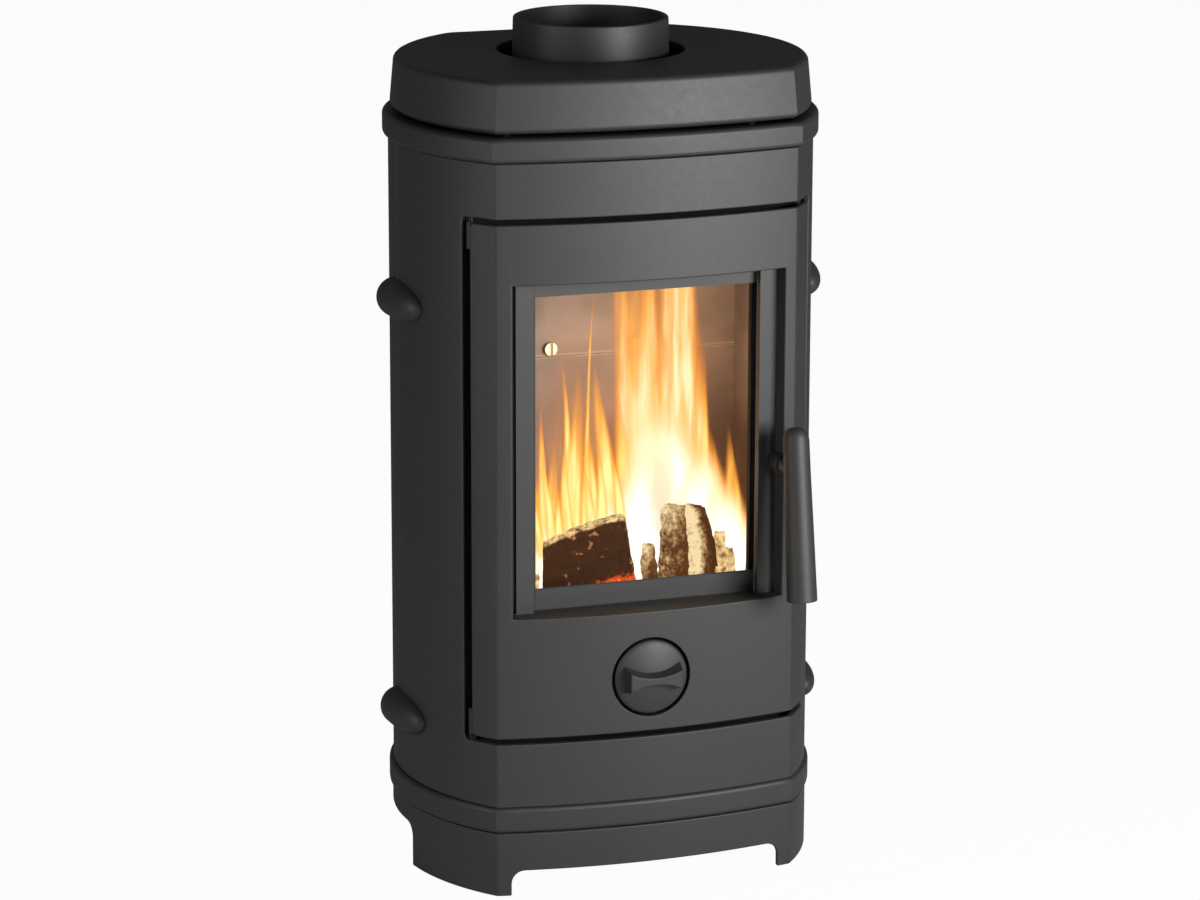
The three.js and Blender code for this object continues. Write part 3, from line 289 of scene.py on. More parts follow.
def draw_plan(name, z, grow, front_grow=None, is_rim=False):
    """The stove's outline as a closed line, swept arc by arc anticlockwise from the front right corner."""
    front_grow = grow if front_grow is None else front_grow
    side_shift = 0 if is_rim else side_radius - body_half_width
    side = (body_half_width if is_rim else side_radius) + grow
    front = front_radius + front_grow
    rear = body_half_width + grow
    fillet = 28
    half_turn = math.pi
    apart = math.hypot(side_shift, front_centre_y - seam_y)
    along = (side ** 2 - front ** 2 + apart ** 2) / (2 * apart)
    across = math.sqrt(side ** 2 - along ** 2)
    ux, uy = side_shift / apart, (front_centre_y - seam_y) / apart
    corner = Vector((-side_shift + along * ux + across * uy, seam_y + along * uy - across * ux, z))
    side_start = math.atan2(corner.y - seam_y, corner.x + side_shift)
    fillet_y = back_y + grow - fillet
    fillet_x = math.sqrt((rear - fillet) ** 2 - (fillet_y - seam_y) ** 2)
    rear_end = math.atan2(fillet_y - seam_y, fillet_x)
    front_start = math.atan2(corner.y - front_centre_y, corner.x)
    made = fresh(name, 'plane', size=1, location=corner)
    bpy.ops.object.mode_set(mode='EDIT')
    select_all()
    bpy.ops.mesh.merge(type='CENTER')

    def sweep(centre_x, centre_y, angle, steps):
        bpy.ops.mesh.spin(steps=steps, angle=angle, center=(centre_x, centre_y, z), axis=(0, 0, -1))

    sweep(-side_shift, seam_y, -side_start, 22)
    sweep(0, seam_y, rear_end, 26)
    sweep(fillet_x, fillet_y, half_turn / 2 - rear_end, 8)
    extrude(-2 * fillet_x, 0, 0)
    sweep(-fillet_x, fillet_y, half_turn / 2 - rear_end, 8)
    sweep(0, seam_y, rear_end, 26)
    sweep(side_shift, seam_y, -side_start, 22)
    sweep(0, front_centre_y, half_turn + 2 * front_start, 30)
    select_all()
    bpy.ops.mesh.remove_doubles(threshold=0.05)
    return made


def ring_wall(name, low, high, grow):
    """A wall of the stove's outline, standing open at both ends."""
    made = draw_plan(name, low, grow)
    extrude(0, 0, high - low)
    select_all()
    bpy.ops.mesh.normals_make_consistent(inside=False)
    modify(made, 'SOLIDIFY', thickness=wall_thickness, offset=-1, use_even_offset=True)
    outwards(made)
    return made


def soften(obj, width):
    """Rounds the edges that the founder's pattern rounds."""
    modify(obj, 'BEVEL', width=width, segments=3, limit_method='ANGLE', angle_limit=math.radians(28),
           use_clamp_overlap=False)


def dress(obj, body, material, slot, *nodes):
    """Shades a piece that is in the frame, gives it its body and its finish, and hides the solids it stands
    for.
    """
    bpy.ops.object.shade_smooth_by_angle(angle=math.radians(32))
    modify(obj, 'WEIGHTED_NORMAL', keep_sharp=True, weight=50)
    obj.data.materials.clear()
    obj.data.materials.append(material)
    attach(obj, body)
    if nodes:
        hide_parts(*nodes)


def settle(obj, body, material, slot, *nodes):
    """Brings a piece from the drawing's millimetres into the frame and dresses it."""
    alone(obj)
    obj.data.transform(Matrix.LocRotScale(flue_axis, None, Vector((0.001, 0.001, 0.001))))
    dress(obj, body, material, slot, *nodes)


def cast(obj, node, body="stove"):
    """Settles a painted casting, which stands for its solid."""
    settle(obj, body, stove_paint, "cast_paint", node)


def object_place(tree):
    return add_node(tree, 'ShaderNodeTexCoord').outputs["Object"]


def clouds(tree, place, size, detail, **more):
    """Noise from 0 to 1 in lumps of about the given size in metres."""
    return add_node(tree, 'ShaderNodeTexNoise', Vector=place, Scale=1 / size, Detail=detail,
                    **more).outputs[0]


def remap(tree, value, low, high, new_low=0.0, new_high=1.0, ease='LINEAR'):
    """Maps low to high on new_low to new_high, with nothing beyond them."""
    made = add_node(tree, 'ShaderNodeMapRange', {"interpolation_type": ease}, i0=value, i1=low, i2=high,
                    i3=new_low, i4=new_high)
    return made.outputs[0]


def blend(tree, share, first, second, way='MIX'):
    """The mix of two colours, each a hex code or an output."""
    first, second = (colour(part) if isinstance(part, str) else part for part in (first, second))
    made = add_node(tree, 'ShaderNodeMix', {"data_type": 'RGBA', "blend_type": way}, i0=share, i6=first,
                    i7=second)
    return made.outputs[2]


def bumps(tree, strength, depth, height, **more):
    return add_node(tree, 'ShaderNodeBump', Strength=strength, Distance=depth, Height=height,
                    **more).outputs[0]


def principled(tree, **inputs):
    """Ends a material with its one Principled surface."""
    surface = add_node(tree, 'ShaderNodeBsdfPrincipled', **inputs)
    add_node(tree, 'ShaderNodeOutputMaterial', Surface=surface.outputs[0])


# Stove paint on sand-cast iron: near-black grey, matt, with the sand's grain felt through the coat.
# The grain is about half a millimetre and is drawn at 1.1 mm so that it shows.
stove_paint, tree = new_material("stove_paint_on_sand_cast_iron")
place = object_place(tree)
cloud = clouds(tree, place, 0.085, 3.0, Roughness=0.55)
grain = clouds(tree, place, 0.0011, 2.0, Roughness=0.6)
skin = clouds(tree, place, 0.007, 4.0, Roughness=0.6)
tone = blend(tree, cloud, '#272625', '#2e2d2c')
speck = remap(tree, grain, 0.3, 0.7, 0.9, 1.1)
painted = blend(tree, 1.0, tone, speck, 'MULTIPLY')
gloss = remap(tree, skin, 0.3, 0.7, 0.52, 0.56)
sand = bumps(tree, 0.25, 0.0002, grain)
waves = bumps(tree, 0.03, 0.0006, skin, Normal=sand)
principled(tree, Base_Color=painted, Roughness=gloss, IOR=1.5, Normal=waves)

plinth = ring_wall("plinth_casting", 0, 64.3, 0.8)
arch_top, side_arch_top, arch_radius = 25.6, 43, 13
beyond, below_floor = 400, -60
for name, low, high, along in (
    ("front_arch", (-139, -beyond, below_floor), (139, seam_y, arch_top), 1),
    ("rear_arch", (-92, seam_y, below_floor), (92, beyond, arch_top), 1),
    ("side_arch", (-beyond, -62, below_floor), (beyond, 118, side_arch_top), 0),
):
    carve(plinth, block(name, low, high, arch_radius, along))
soften(plinth, 1.3)
cast(plinth, "plinth")


# ---------------------------------------------------------------- bottom plate
# A flat casting with a rounded rim. The shells stand on it, and it stands on the plinth.
def slab(name, low, high, *growth):
    """A solid plate of the outline."""
    made = draw_plan(name, low, *growth)
    bpy.ops.mesh.edge_face_add()
    extrude(0, 0, high - low)
    outwards(made)
    return made


def rimmed_plate(name, low, high, radius, *growth):
    """A slab with its rim rounded."""
    made = slab(name, low, high, *growth)
    pick(made, edges=lambda a, b: abs(a.z - b.z) < 0.01)
    round_off(radius, 5)
    alone(made)
    return made


def hollow(obj, facing, margin, shift):
    """Sinks the flat upper (1) or lower (-1) side inside a margin by a shift in height."""
    pick(obj, faces=lambda centre, normal: normal.z * facing > 0.99)
    bpy.ops.mesh.inset(thickness=margin)
    extrude(0, 0, shift)


rim_radius = 4.5
bottom_plate = rimmed_plate("bottom_plate_casting", 64.6, 90.4, rim_radius, 4.1, 1.5, True)
hollow(bottom_plate, 1, 11, -16.4)
hollow(bottom_plate, -1, 11, 3.4)
cast(bottom_plate, "bottom_plate")

# ---------------------------------------------------------------- front shell
# The front half of the body, cut for the door. Two ears on each side take the bolts that draw it to
# the rear half, and two lugs on the left, above and below the door, hold the hinge pins.
hinge_reach, hinge_angle = 203.9, math.radians(55.5)
hinge_x = -hinge_reach * math.sin(hinge_angle)
hinge_y = seam_y - hinge_reach * math.cos(hinge_angle)
half_joint = 0.15
ear_heights = (155, 573.5)
opening_low, opening_high, opening_angle = 155, 675.3, 57.5


def wedge(name, left, right, low, high, radius):
    """What lies between two angles off straight ahead, seen from the seam's middle, with round corners."""
    made = fresh(name, 'circle', vertices=3, radius=10, fill_type='NGON', location=(0, 0, low))
    reach = 700
    spots = [(0, seam_y)]
    for angle in (math.radians(-left), math.radians(right)):
        spots.append((reach * math.sin(angle), seam_y - reach * math.cos(angle)))
    for vertex, spot in zip(made.data.vertices, spots):
        vertex.co = (*spot, low)
    pick(made)
    extrude(0, 0, high - low)
    outwards(made)
    pick(made, edges=lambda a, b: abs(a.z - b.z) < 0.1 and abs(a.x - b.x) > 100 and abs(a.y - b.y) > 100)
    round_off(radius, 5)
    alone(made)
    return made


def cut_off(obj, y, facing):
    """Takes away what lies behind (1) or in front of (-1) an upright plane, and closes the cut."""
    pick(obj)
    bpy.ops.mesh.bisect(plane_co=(0, y, 0), plane_no=(0, facing, 0), clear_outer=True, use_fill=True)


def ear(name, side, z, near, far):
    """The part of an ear, round behind and with a long nose in front, that belongs to one shell."""
    radius, middle_length, nose_stretch, toe_in = 20, 20, 2.5, math.radians(4)
    made = fresh(name, 'uv_sphere', segments=64, ring_count=40, radius=radius,
                 rotation=(math.pi / 2, 0, 0), location=(0, 0, 0))
    for vertex in made.data.vertices:
        if vertex.co.y < 0.01:
            vertex.co.y = vertex.co.y * nose_stretch - middle_length
    tilt = Matrix.Rotation(-side * toe_in, 4, 'Z')
    made.data.transform(Matrix.Translation((side * 206, -20, z)) @ tilt)
    for cut, facing in ((near, -1), (far, 1)):
        cut_off(made, cut, facing)
    outwards(made)
    return made


def half_ring(name, facing):
    """One half of the body's wall, in front of the seam or behind it."""
    made = ring_wall(name, 90.7, 728.7, 0)
    cut_off(made, seam_y + half_joint * facing, -facing)
    outwards(made)
    return made


front_shell = half_ring("front_shell_casting", -1)
carve(front_shell, wedge("door_opening", opening_angle, opening_angle, opening_low, opening_high, 6))
soften(front_shell, 1.3)
for side in (-1, 1):
    for z in ear_heights:
        carve(front_shell, ear("front_ear", side, z, -100, seam_y - half_joint), 'UNION')
for low, high in ((125, opening_low), (opening_high, 705)):
    lug = cylinder("hinge_lug", 8.5, high - low, (hinge_x, hinge_y, (low + high) / 2))
    carve(lug, slab("outer_face", low - 1, high + 1, -0.6), 'INTERSECT')
    carve(front_shell, lug, 'UNION')
cast(front_shell, "front_shell")

# ---------------------------------------------------------------- rear shell
# The rear half of the body, with a flat back. Its ears have sockets for the bolt heads, open to the
# back, and two posts inside take the screws of the back lining.
rear_shell = half_ring("rear_shell_casting", 1)
soften(rear_shell, 1.3)
for side in (-1, 1):
    for z in ear_heights:
        carve(rear_shell, ear("rear_ear", side, z, seam_y + half_joint, 80), 'UNION')
        carve(rear_shell, cylinder("bolt_socket", 6.6, 60, (side * 213, 16, z), level=True))
for screw_x in (-29, 62):
    carve(rear_shell, cylinder("lining_post", 9, 95, (screw_x, 95.8, 495.5), 32, True), 'UNION')
cast(rear_shell, "rear_shell")

# ---------------------------------------------------------------- top plate
# The cast plate that closes the firebox. Its rounded rim stands out past the shells, and the flue passes
# through it.
flue_radius = 71.5
top_plate = rimmed_plate("top_plate_casting", 729, 752.6, rim_radius, 5.6, 1.8, True)
hollow(top_plate, 1, 9.5, -15.6)
carve(top_plate, cylinder("flue_hole", flue_radius, 60, (0, 0, 735), 96))
cast(top_plate, "top_plate")

# ---------------------------------------------------------------- lid
# A loose cover casting with a slight draft and a rounded upper edge. It is hollow underneath, stands
# on four stub feet, and has a wide round hole that clears the flue collar.
lid = rimmed_plate("lid_casting", 756, 806, 6, -2.1)
collar_hole_radius = 92.6
pick(lid, faces=lambda centre, normal: normal.z > 0.99)
for _ in range(5):
    bpy.ops.mesh.select_more()
bpy.ops.transform.resize(value=(0.9835, 0.98, 1), center_override=(0, -22, 0))
hollow(lid, -1, 4, 43)
carve(lid, cylinder("collar_hole", collar_hole_radius, 60, (0, 0, 800), 128))
pick(lid, edges=lambda a, b: all(
    abs(math.hypot(p.x, p.y) - collar_hole_radius) < 0.5 and p.z > 805 for p in (a, b)))
round_off(1.8, 3)
for x, y in ((-125, -115), (125, -115), (-85, 105), (85, 105)):
    carve(lid, cylinder("stub_foot", 6, 63.2, (x, y, 768.9), 28), 'UNION')
cast(lid, "lid")


# ---------------------------------------------------------------- flue collar
# A round cast neck for the flue pipe, bolted to the top plate by its flange and a little wider at
# the base than at the rim.
def turned(name, profile, steps):
    """A profile of (radius, height) pairs spun round the vertical axis."""
    made = fresh(name, 'plane', size=1, location=(profile[0][0], 0, profile[0][1]))
    bpy.ops.object.mode_set(mode='EDIT')
    select_all()
    bpy.ops.mesh.merge(type='CENTER')
    for (r0, z0), (r1, z1) in zip(profile, profile[1:]):
        extrude(r1 - r0, 0, z1 - z0)
    select_all()
    bpy.ops.mesh.spin(steps=steps, angle=2 * math.pi, center=(0, 0, 0), axis=(0, 0, 1))
    outwards(made)
    return made


collar = turned("flue_collar_casting", [
    (flue_radius, 737.3), (91, 737.3), (92, 738.3), (92, 742.3), (91, 743.3), (80.5, 743.3), (79.2, 744.1),
    (78.7, 746), (77.5, 795), (76.6, 836), (76.1, 837.3), (75, 837.9), (72.8, 837.9), (71.8, 837.3),
    (flue_radius, 836), (flue_radius, 737.3),
], 128)
cast(collar, "flue_collar")

# ---------------------------------------------------------------- door
# One casting that wraps both front corners: a 6 mm skin, a deep recess for the window with a ledge
# down each side, a back plate with the channel for the rope, and a round seat for the air dial.
door_low, door_high = 160.5, 669.8
recess_low, recess_high, recess_floor = 282, 611, -163
spindle_x, spindle_z = 142.7, 414.8
dial_z, dial_seat_radius = 215.3, 40
door = ring_wall("door_casting", door_low, door_high, 0)
carve(door, wedge("door_outline", 54.75, 56.3, door_low, door_high, 5.5), 'INTERSECT')
soften(door, 1.8)
inner_face = slab("inner_face", 160, 670.5, -5)


def behind_skin(tool):
    """Keeps the part of a block that lies behind the door's skin."""
    alone(inner_face)
    bpy.ops.object.duplicate()
    carve(tool, bpy.context.object, 'INTERSECT')
    return tool


carve(door, behind_skin(block("recess_sleeve", (-142.2, -300, 277), (145.5, -162, 616))), 'UNION')
carve(door, block("back_plate", (-140.1, -163, 166.9), (136.1, -155, 657.6), 17, 1), 'UNION')
for low in (166.9, 651.6):
    carve(door, behind_skin(block("rib", (-140, -300, low + 0.1), (136, -158, low + 5.9))), 'UNION')
spindle_boss = cylinder("spindle_boss", 11.5, 24.5, (spindle_x, -167.25, spindle_z), 48, True)
pick(spindle_boss, edges=lambda a, b: a.y < -179 and b.y < -179)
round_off(1.2, 3)

recess = block("window_recess", (-141.4, -240, recess_low), (144.7, recess_floor, recess_high))
flare = 0.2078
for vertex in recess.data.vertices:
    aside = (recess_floor - vertex.co.y) * flare
    vertex.co.x = (-134 - aside) if vertex.co.x < 0 else (137.3 + aside)
carve(door, recess)
carve(door, block("ledge_rebate", (-134.5, -170, recess_low + 0.5), (-128.9, -159, recess_high - 0.5)))
carve(door, block("window_opening", (-111.3, -170, recess_low), (119.9, -150, 607)))


def on_recess_rim(point):
    level = min(abs(point.z - recess_low), abs(point.z - recess_high)) < 0.3
    upright = abs(abs(point.x - 1.65) - 138.8) < 2.6
    inside = recess_low - 1 < point.z < recess_high + 1 and -141 < point.x < 145
    return point.y < -173 and (level or upright) and inside


pick(door, edges=lambda a, b: on_recess_rim(a) and on_recess_rim(b))
round_off(1.4, 3)
carve(door, cylinder("dial_seat", dial_seat_radius, 60, (0, -203, dial_z), 96, True))
pick(door, edges=lambda a, b: all(
    p.y < -185 and abs(math.hypot(p.x, p.z - dial_z) - dial_seat_radius) < 0.3 for p in (a, b)))
round_off(1.0, 3)
carve(door, spindle_boss, 'UNION')


def channel_ring(name, grow, near, far):
    """A rounded frame along the rope's line, grown both ways from its middle."""
    left, right, low, high, radius = -134.5, 130.5, 172.5, 652, 14
    made = block(name, (left - grow, near, low - grow), (right + grow, far, high + grow), radius + grow, 1)
    carve(made, block("inside", (left + grow, near - 5, low + grow), (right - grow, far + 5, high - grow),
                      radius - grow, 1))
    return made


def weld(obj, part):
    """Makes a closed part one piece with another that it sits in."""
    alone(obj)
    part.select_set(True)
    bpy.ops.object.join()


carve(door, channel_ring("channel_wall", 5.5, -156, -141), 'UNION')
carve(door, channel_ring("channel", 3.8, -146, -138))
for x in (-85, 85):
    for z in (266.5, 625.5):
        carve(door, cylinder("clip_boss", 6, 8, (x, -152.4, z), 28, True), 'UNION')
for z in (173.6, 656.7):
    weld(door, cylinder("hinge_barrel", 4.4, 25.8, (hinge_x, hinge_y, z)))
cast(door, "door", "door")
bpy.data.objects.remove(inner_face)


# ---------------------------------------------------------------- handle
# A solid cast bar that thickens towards its flat lower end, with a domed top. A short neck joins it
# to the spindle, and its lower end leans out from the door.
def lean(obj, place, degrees):
    """Tips a piece about the line from left to right and moves it to its place."""
    obj.data.transform(Matrix.Translation(place) @ Matrix.Rotation(math.radians(degrees), 4, 'X'))


bar = turned("handle_casting", [
    (0, -127), (13.6, -127), (14.6, -126.6), (15.0, -125.6), (14.1, -60), (13.1, 0), (12.9, 31),
    (12.3, 35.4), (10.8, 39.1), (8.6, 41.8), (5.8, 43.4), (2.9, 44), (0, 44.1),
], 64)
lean(bar, (spindle_x, -210, spindle_z), -8)
neck = turned("neck", [(0, 0), (9, 0), (9.5, 0.5), (9.5, 20), (10.5, 24), (0, 24)], 40)
lean(neck, (spindle_x, -179.8, spindle_z), 90)
carve(bar, neck, 'UNION')
cast(bar, "handle", "door_handle")

# ---------------------------------------------------------------- air dial
# A domed cast disc with a waisted grip across it. It turns in its round seat, with a dark gap about it.
dial = turned("air_dial_casting", [
    (0, -7), (36.2, -7), (37, -6.2), (37, -0.8), (36.2, 0.2), (34, 1.4), (30, 2.65), (24, 4.3), (16, 5.85),
    (8, 6.75), (0, 7),
], 96)
lean(dial, (0, -191.5, dial_z), 90)
grip_half_length, grip_height, waist = 26.5, 17, 3.5
grip = fresh("dial_grip", 'grid', x_subdivisions=24, y_subdivisions=1, size=2)
for vertex in grip.data.vertices:
    u, v = vertex.co.x, vertex.co.y
    vertex.co = (u * grip_half_length, v * (waist + 6.0 * u * u), grip_height)
pick(grip)
extrude(0, 0, -grip_height)
outwards(grip)
for vertex in grip.data.vertices:
    if vertex.co.z < 1:
        vertex.co.x += math.copysign(2.5, vertex.co.x) if abs(vertex.co.x) > grip_half_length - 0.5 else 0
        vertex.co.y += math.copysign(4.0, vertex.co.y)
pick(grip, edges=lambda a, b: min(a.z, b.z) > grip_height - 0.5 and (
    min(abs(a.x), abs(b.x)) > grip_half_length - 0.1 or (abs(a.x - b.x) > 0.5 and a.y * b.y > 0)))
round_off(1.1, 3)
alone(grip)
lean(grip, (0, -192.5, dial_z), 90)
carve(dial, grip, 'UNION')
cast(dial, "air_dial", "air_control")


# ---------------------------------------------------------------- bolts, tie rods and latch parts
# Turned and pressed steel: four long rods clamp the shells between the plates, four socket screws close
# the ears, three small ones hold the collar. The hinge pins, spindle and latch are blackened.
def eased(node, name, width, material, slot, body="stove"):
    """A copy of a solid with its sharp edges eased, which stands for it."""
    made = bpy.data.objects.new(name, frame["nodes"][node].data.copy())
    bpy.context.scene.collection.objects.link(made)
    pick(made)
    bpy.ops.mesh.remove_doubles(threshold=0.000001)
    bpy.ops.mesh.dissolve_limited(angle_limit=math.radians(0.5))
    modify(made, 'BEVEL', width=width * 0.001, segments=2, limit_method='ANGLE',
           angle_limit=math.radians(40))
    dress(made, body, material, slot, node)


# Zinc-plated steel: a cool, slightly milky metal with soft spangles about 3 mm across.
zinc, tree = new_material("zinc_plated_steel")
place = object_place(tree)
spangle = add_node(tree, 'ShaderNodeTexVoronoi', Vector=place, Scale=1 / 0.003)
tone = blend(tree, spangle.outputs[0], '#b4b8ba', '#989ca0')
gloss = remap(tree, spangle.outputs[0], 0.0, 1.0, 0.28, 0.42)
principled(tree, Base_Color=tone, Metallic=1.0, Roughness=gloss)

# Oil-blackened steel: nearly black, with a satin sheen and fine turning lines half a millimetre apart.
black_steel, tree = new_material("oil_blackened_steel")
place = object_place(tree)
cloud = clouds(tree, place, 0.012, 3.0)
line_place = add_node(tree, 'ShaderNodeMapping', Vector=place, Scale=(1 / 0.02, 1 / 0.0005, 1 / 0.02))
lines = clouds(tree, line_place.outputs[0], 1, 1.0)
tone = blend(tree, cloud, '#1f2021', '#34353a')
gloss = remap(tree, cloud, 0.3, 0.7, 0.36, 0.5)
ridges = bumps(tree, 0.15, 0.0001, lines)
principled(tree, Base_Color=tone, Metallic=0.85, Roughness=gloss, Normal=ridges)

for corner in ("front_left", "front_right", "rear_left", "rear_right"):
    eased(f"tie_rod_{corner}", f"rod_{corner}", 0.5, zinc, "steel")
    eased(f"tie_nut_{corner}", f"nut_{corner}", 0.6, zinc, "steel")
for corner in ("lower_left", "lower_right", "upper_left", "upper_right"):
    eased(f"ear_bolt_{corner}", f"socket_screw_{corner}", 0.5, black_steel, "black_steel")
for number in (1, 2, 3):
    eased(f"collar_bolt_{number}", f"collar_screw_{number}", 0.4, zinc, "steel")
for level in ("lower", "upper"):
    eased(f"hinge_pin_{level}", f"hinge_rod_{level}", 0.4, black_steel, "black_steel")
    eased(f"keeper_screw_{level}", f"latch_screw_{level}", 0.3, zinc, "steel")
eased("latch_keeper", "latch_catch", 0.8, black_steel, "black_steel")
eased("handle_spindle", "spindle_rod", 0.4, black_steel, "black_steel", "door_handle")
eased("latch_cam", "latch_tongue", 0.7, black_steel, "black_steel", "door_handle")
eased("cam_nut", "latch_nut", 0.5, zinc, "steel", "door_handle")
eased("air_shutter", "shutter_disc", 0.3, black_steel, "black_steel", "air_control")
eased("dial_nut", "shutter_nut", 0.5, zinc, "steel", "air_control")

# ---------------------------------------------------------------- firebox
# Plates of cast iron, screwed or laid in without paint: hearth, grate, log guard, linings and baffle.
# Fire has turned them dull grey-brown. A pale line along the joint of the back lining is partly ash and
# partly a painted highlight on the upper plate's lower edge.
fired_iron, tree = new_material("fired_cast_iron")
place = object_place(tree)
cloud = clouds(tree, place, 0.09, 4.0, Roughness=0.6)
grain = clouds(tree, place, 0.0014, 2.0)
spot = remap(tree, cloud, 0.35, 0.65)
tone = blend(tree, spot, '#5a524b', '#75695e')
height = add_node(tree, 'ShaderNodeSeparateXYZ', Vector=place)
lining_joint_z, lining_face_y = 0.4898, flue_axis.y + 0.0395
# The pale joint line is partly ash and partly a painted highlight on the edge of the upper plate.
wander = maths(tree, 'MULTIPLY_ADD', cloud, 0.004, -lining_joint_z)
off_joint = maths(tree, 'ADD', height.outputs[2], wander)
near_joint = maths(tree, 'ABSOLUTE', off_joint)
ash_and_highlight = remap(tree, near_joint, 0.0006, 0.003, 0.38, 0.0, ease='SMOOTHSTEP')
behind = maths(tree, 'GREATER_THAN', height.outputs[1], lining_face_y)
on_back = maths(tree, 'MULTIPLY', ash_and_highlight, behind)
ash_and_highlight_tone = blend(tree, on_back, tone, '#a3927f')
sand = bumps(tree, 0.3, 0.0003, grain)
principled(tree, Base_Color=ash_and_highlight_tone, Metallic=0.0, Roughness=0.74, Normal=sand)

# The two plates nearest the door are near black: painted shade, so that the gap round the door reads dark.
gap_shade_iron, tree = new_material("cast_iron_dark_as_gap_shade")
place = object_place(tree)
cloud = clouds(tree, place, 0.03, 4.0)
grain = clouds(tree, place, 0.0014, 2.0)
tone = blend(tree, cloud, '#0e0d0c', '#1b1917')
sand = bumps(tree, 0.3, 0.0003, grain)
principled(tree, Base_Color=tone, Roughness=0.85, Normal=sand)
eased("front_frame", "frame_plate", 1.2, gap_shade_iron, "fired_iron")
eased("ash_shelf", "shelf_plate", 1.2, gap_shade_iron, "fired_iron")
for node, name, width in (
    ("hearth_plate", "hearth_casting", 1.5),
    ("grate", "grate_casting", 1.6),
    ("log_guard", "log_guard_casting", 1.5),
    ("side_lining_left", "left_lining", 1.5),
    ("side_lining_right", "right_lining", 1.5),
    ("back_lining_lower", "lower_back_lining", 1.5),
    ("back_lining_upper", "upper_back_lining", 1.5),
    ("baffle", "baffle_plate", 1.2),
):
    eased(node, name, width, fired_iron, "fired_iron")
eased("ash_pan", "ash_tray", 0.6, black_steel, "black_steel")

# ---------------------------------------------------------------- screws of the back lining
# Cheese-headed screws with a wide slot, bare steel gone straw-coloured in the heat.
straw_steel, tree = new_material("heat_tinted_steel")
place = object_place(tree)
cloud = clouds(tree, place, 0.004, 2.0)
tone = blend(tree, cloud, '#c9bda9', '#a58f78')
principled(tree, Base_Color=tone, Metallic=1.0, Roughness=0.45)
for side in ("left", "right"):
    eased(f"lining_screw_{side}", f"slotted_screw_{side}", 0.8, straw_steel, "steel")

# ---------------------------------------------------------------- door glass
# A 4 mm pane of clear ceramic glass on a thin fibre gasket, held from inside by four steel clips. A grey
# frit is fired on its upper and lower edge. A black line down the left edge is painted shade, for the shadow
# in the gap beside the ledge.
ceramic_glass, tree = new_material("ceramic_glass_with_frit")
place = object_place(tree)
height = add_node(tree, 'ShaderNodeSeparateXYZ', Vector=place)
upper_frit_z, lower_frit_z, shade_line_x = 0.593, 0.3023, flue_axis.x - 0.106
above = maths(tree, 'GREATER_THAN', height.outputs[2], upper_frit_z)
below = maths(tree, 'LESS_THAN', height.outputs[2], lower_frit_z)
bands = maths(tree, 'ADD', above, below)
# The black line down the left edge is painted shade: it stands for the shadow in the gap between the ledge
# and the glass.
painted_gap_shade = maths(tree, 'LESS_THAN', height.outputs[0], shade_line_x)
frit_and_shade_line = maths(tree, 'MAXIMUM', bands, painted_gap_shade)
cover = remap(tree, frit_and_shade_line, 0.0, 1.0, 0.03, 1.0)
cloud = clouds(tree, place, 0.03, 2.0)
grey = blend(tree, cloud, '#232322', '#292928')
frit_or_shade_tone = blend(tree, painted_gap_shade, grey, '#0c0c0c')
tone = blend(tree, frit_and_shade_line, '#3a3632', frit_or_shade_tone)
gloss = remap(tree, frit_and_shade_line, 0.0, 1.0, 0.06, 0.55)
principled(tree, Base_Color=tone, Roughness=gloss, IOR=1.53, Alpha=cover)
eased("window_glass", "glass_pane", 0.5, ceramic_glass, "window_glass", "door")
for corner in ("lower_left", "lower_right", "upper_left", "upper_right"):
    eased(f"glass_clip_{corner}", f"clip_{corner}", 0.4, black_steel, "black_steel", "door")
    eased(f"clip_screw_{corner}", f"clip_fastener_{corner}", 0.4, zinc, "steel", "door")

# ---------------------------------------------------------------- door rope and gasket
# Knitted glass-fibre rope, glued in its channel and pressed flat on the frame, and a thin woven tape
# under the glass. Both are dull grey with soot, with strands 2.5 mm apart.
fibre, tree = new_material("knitted_glass_fibre")
place = object_place(tree)
strands = []
for turn in (35, -35):
    turned_place = add_node(tree, 'ShaderNodeMapping', Vector=place, Rotation=(0, math.radians(turn), 0))
    strands.append(add_node(tree, 'ShaderNodeTexWave', {"bands_direction": 'Z'},
                            Vector=turned_place.outputs[0], Scale=2 * math.pi / 20 / 0.0025, Distortion=1.5,
                            Detail=1.0))
knit = maths(tree, 'MAXIMUM', strands[0].outputs[1], strands[1].outputs[1])
tone = blend(tree, knit, '#5b5853', '#a39e94')
relief = bumps(tree, 0.7, 0.0006, knit)
principled(tree, Base_Color=tone, Roughness=0.92, Normal=relief)
eased("door_rope", "rope_seal", 2.4, fibre, "glass_fibre", "door")
eased("window_gasket", "glass_tape", 0.4, fibre, "glass_fibre", "door")

# ---------------------------------------------------------------- ember bed
# A low heap of ash and coals on the grate. The crust is pale grey, and the coals glow orange between it.
def rough(obj, amount, size, seed):
    """Moves each point along its normal by a noise as coarse as size, with a finer one on top."""
    shift = Vector((seed * 17.3, seed * 5.1, seed * 9.7))
    fine_amount, fine_size = 0.35 * amount, 0.28 * size
    moves = [vertex.normal * (amount * noise.noise(vertex.co / size + shift)
                              + fine_amount * noise.noise(vertex.co / fine_size - shift))
             for vertex in obj.data.vertices]
    for vertex, move in zip(obj.data.vertices, moves):
        vertex.co += move


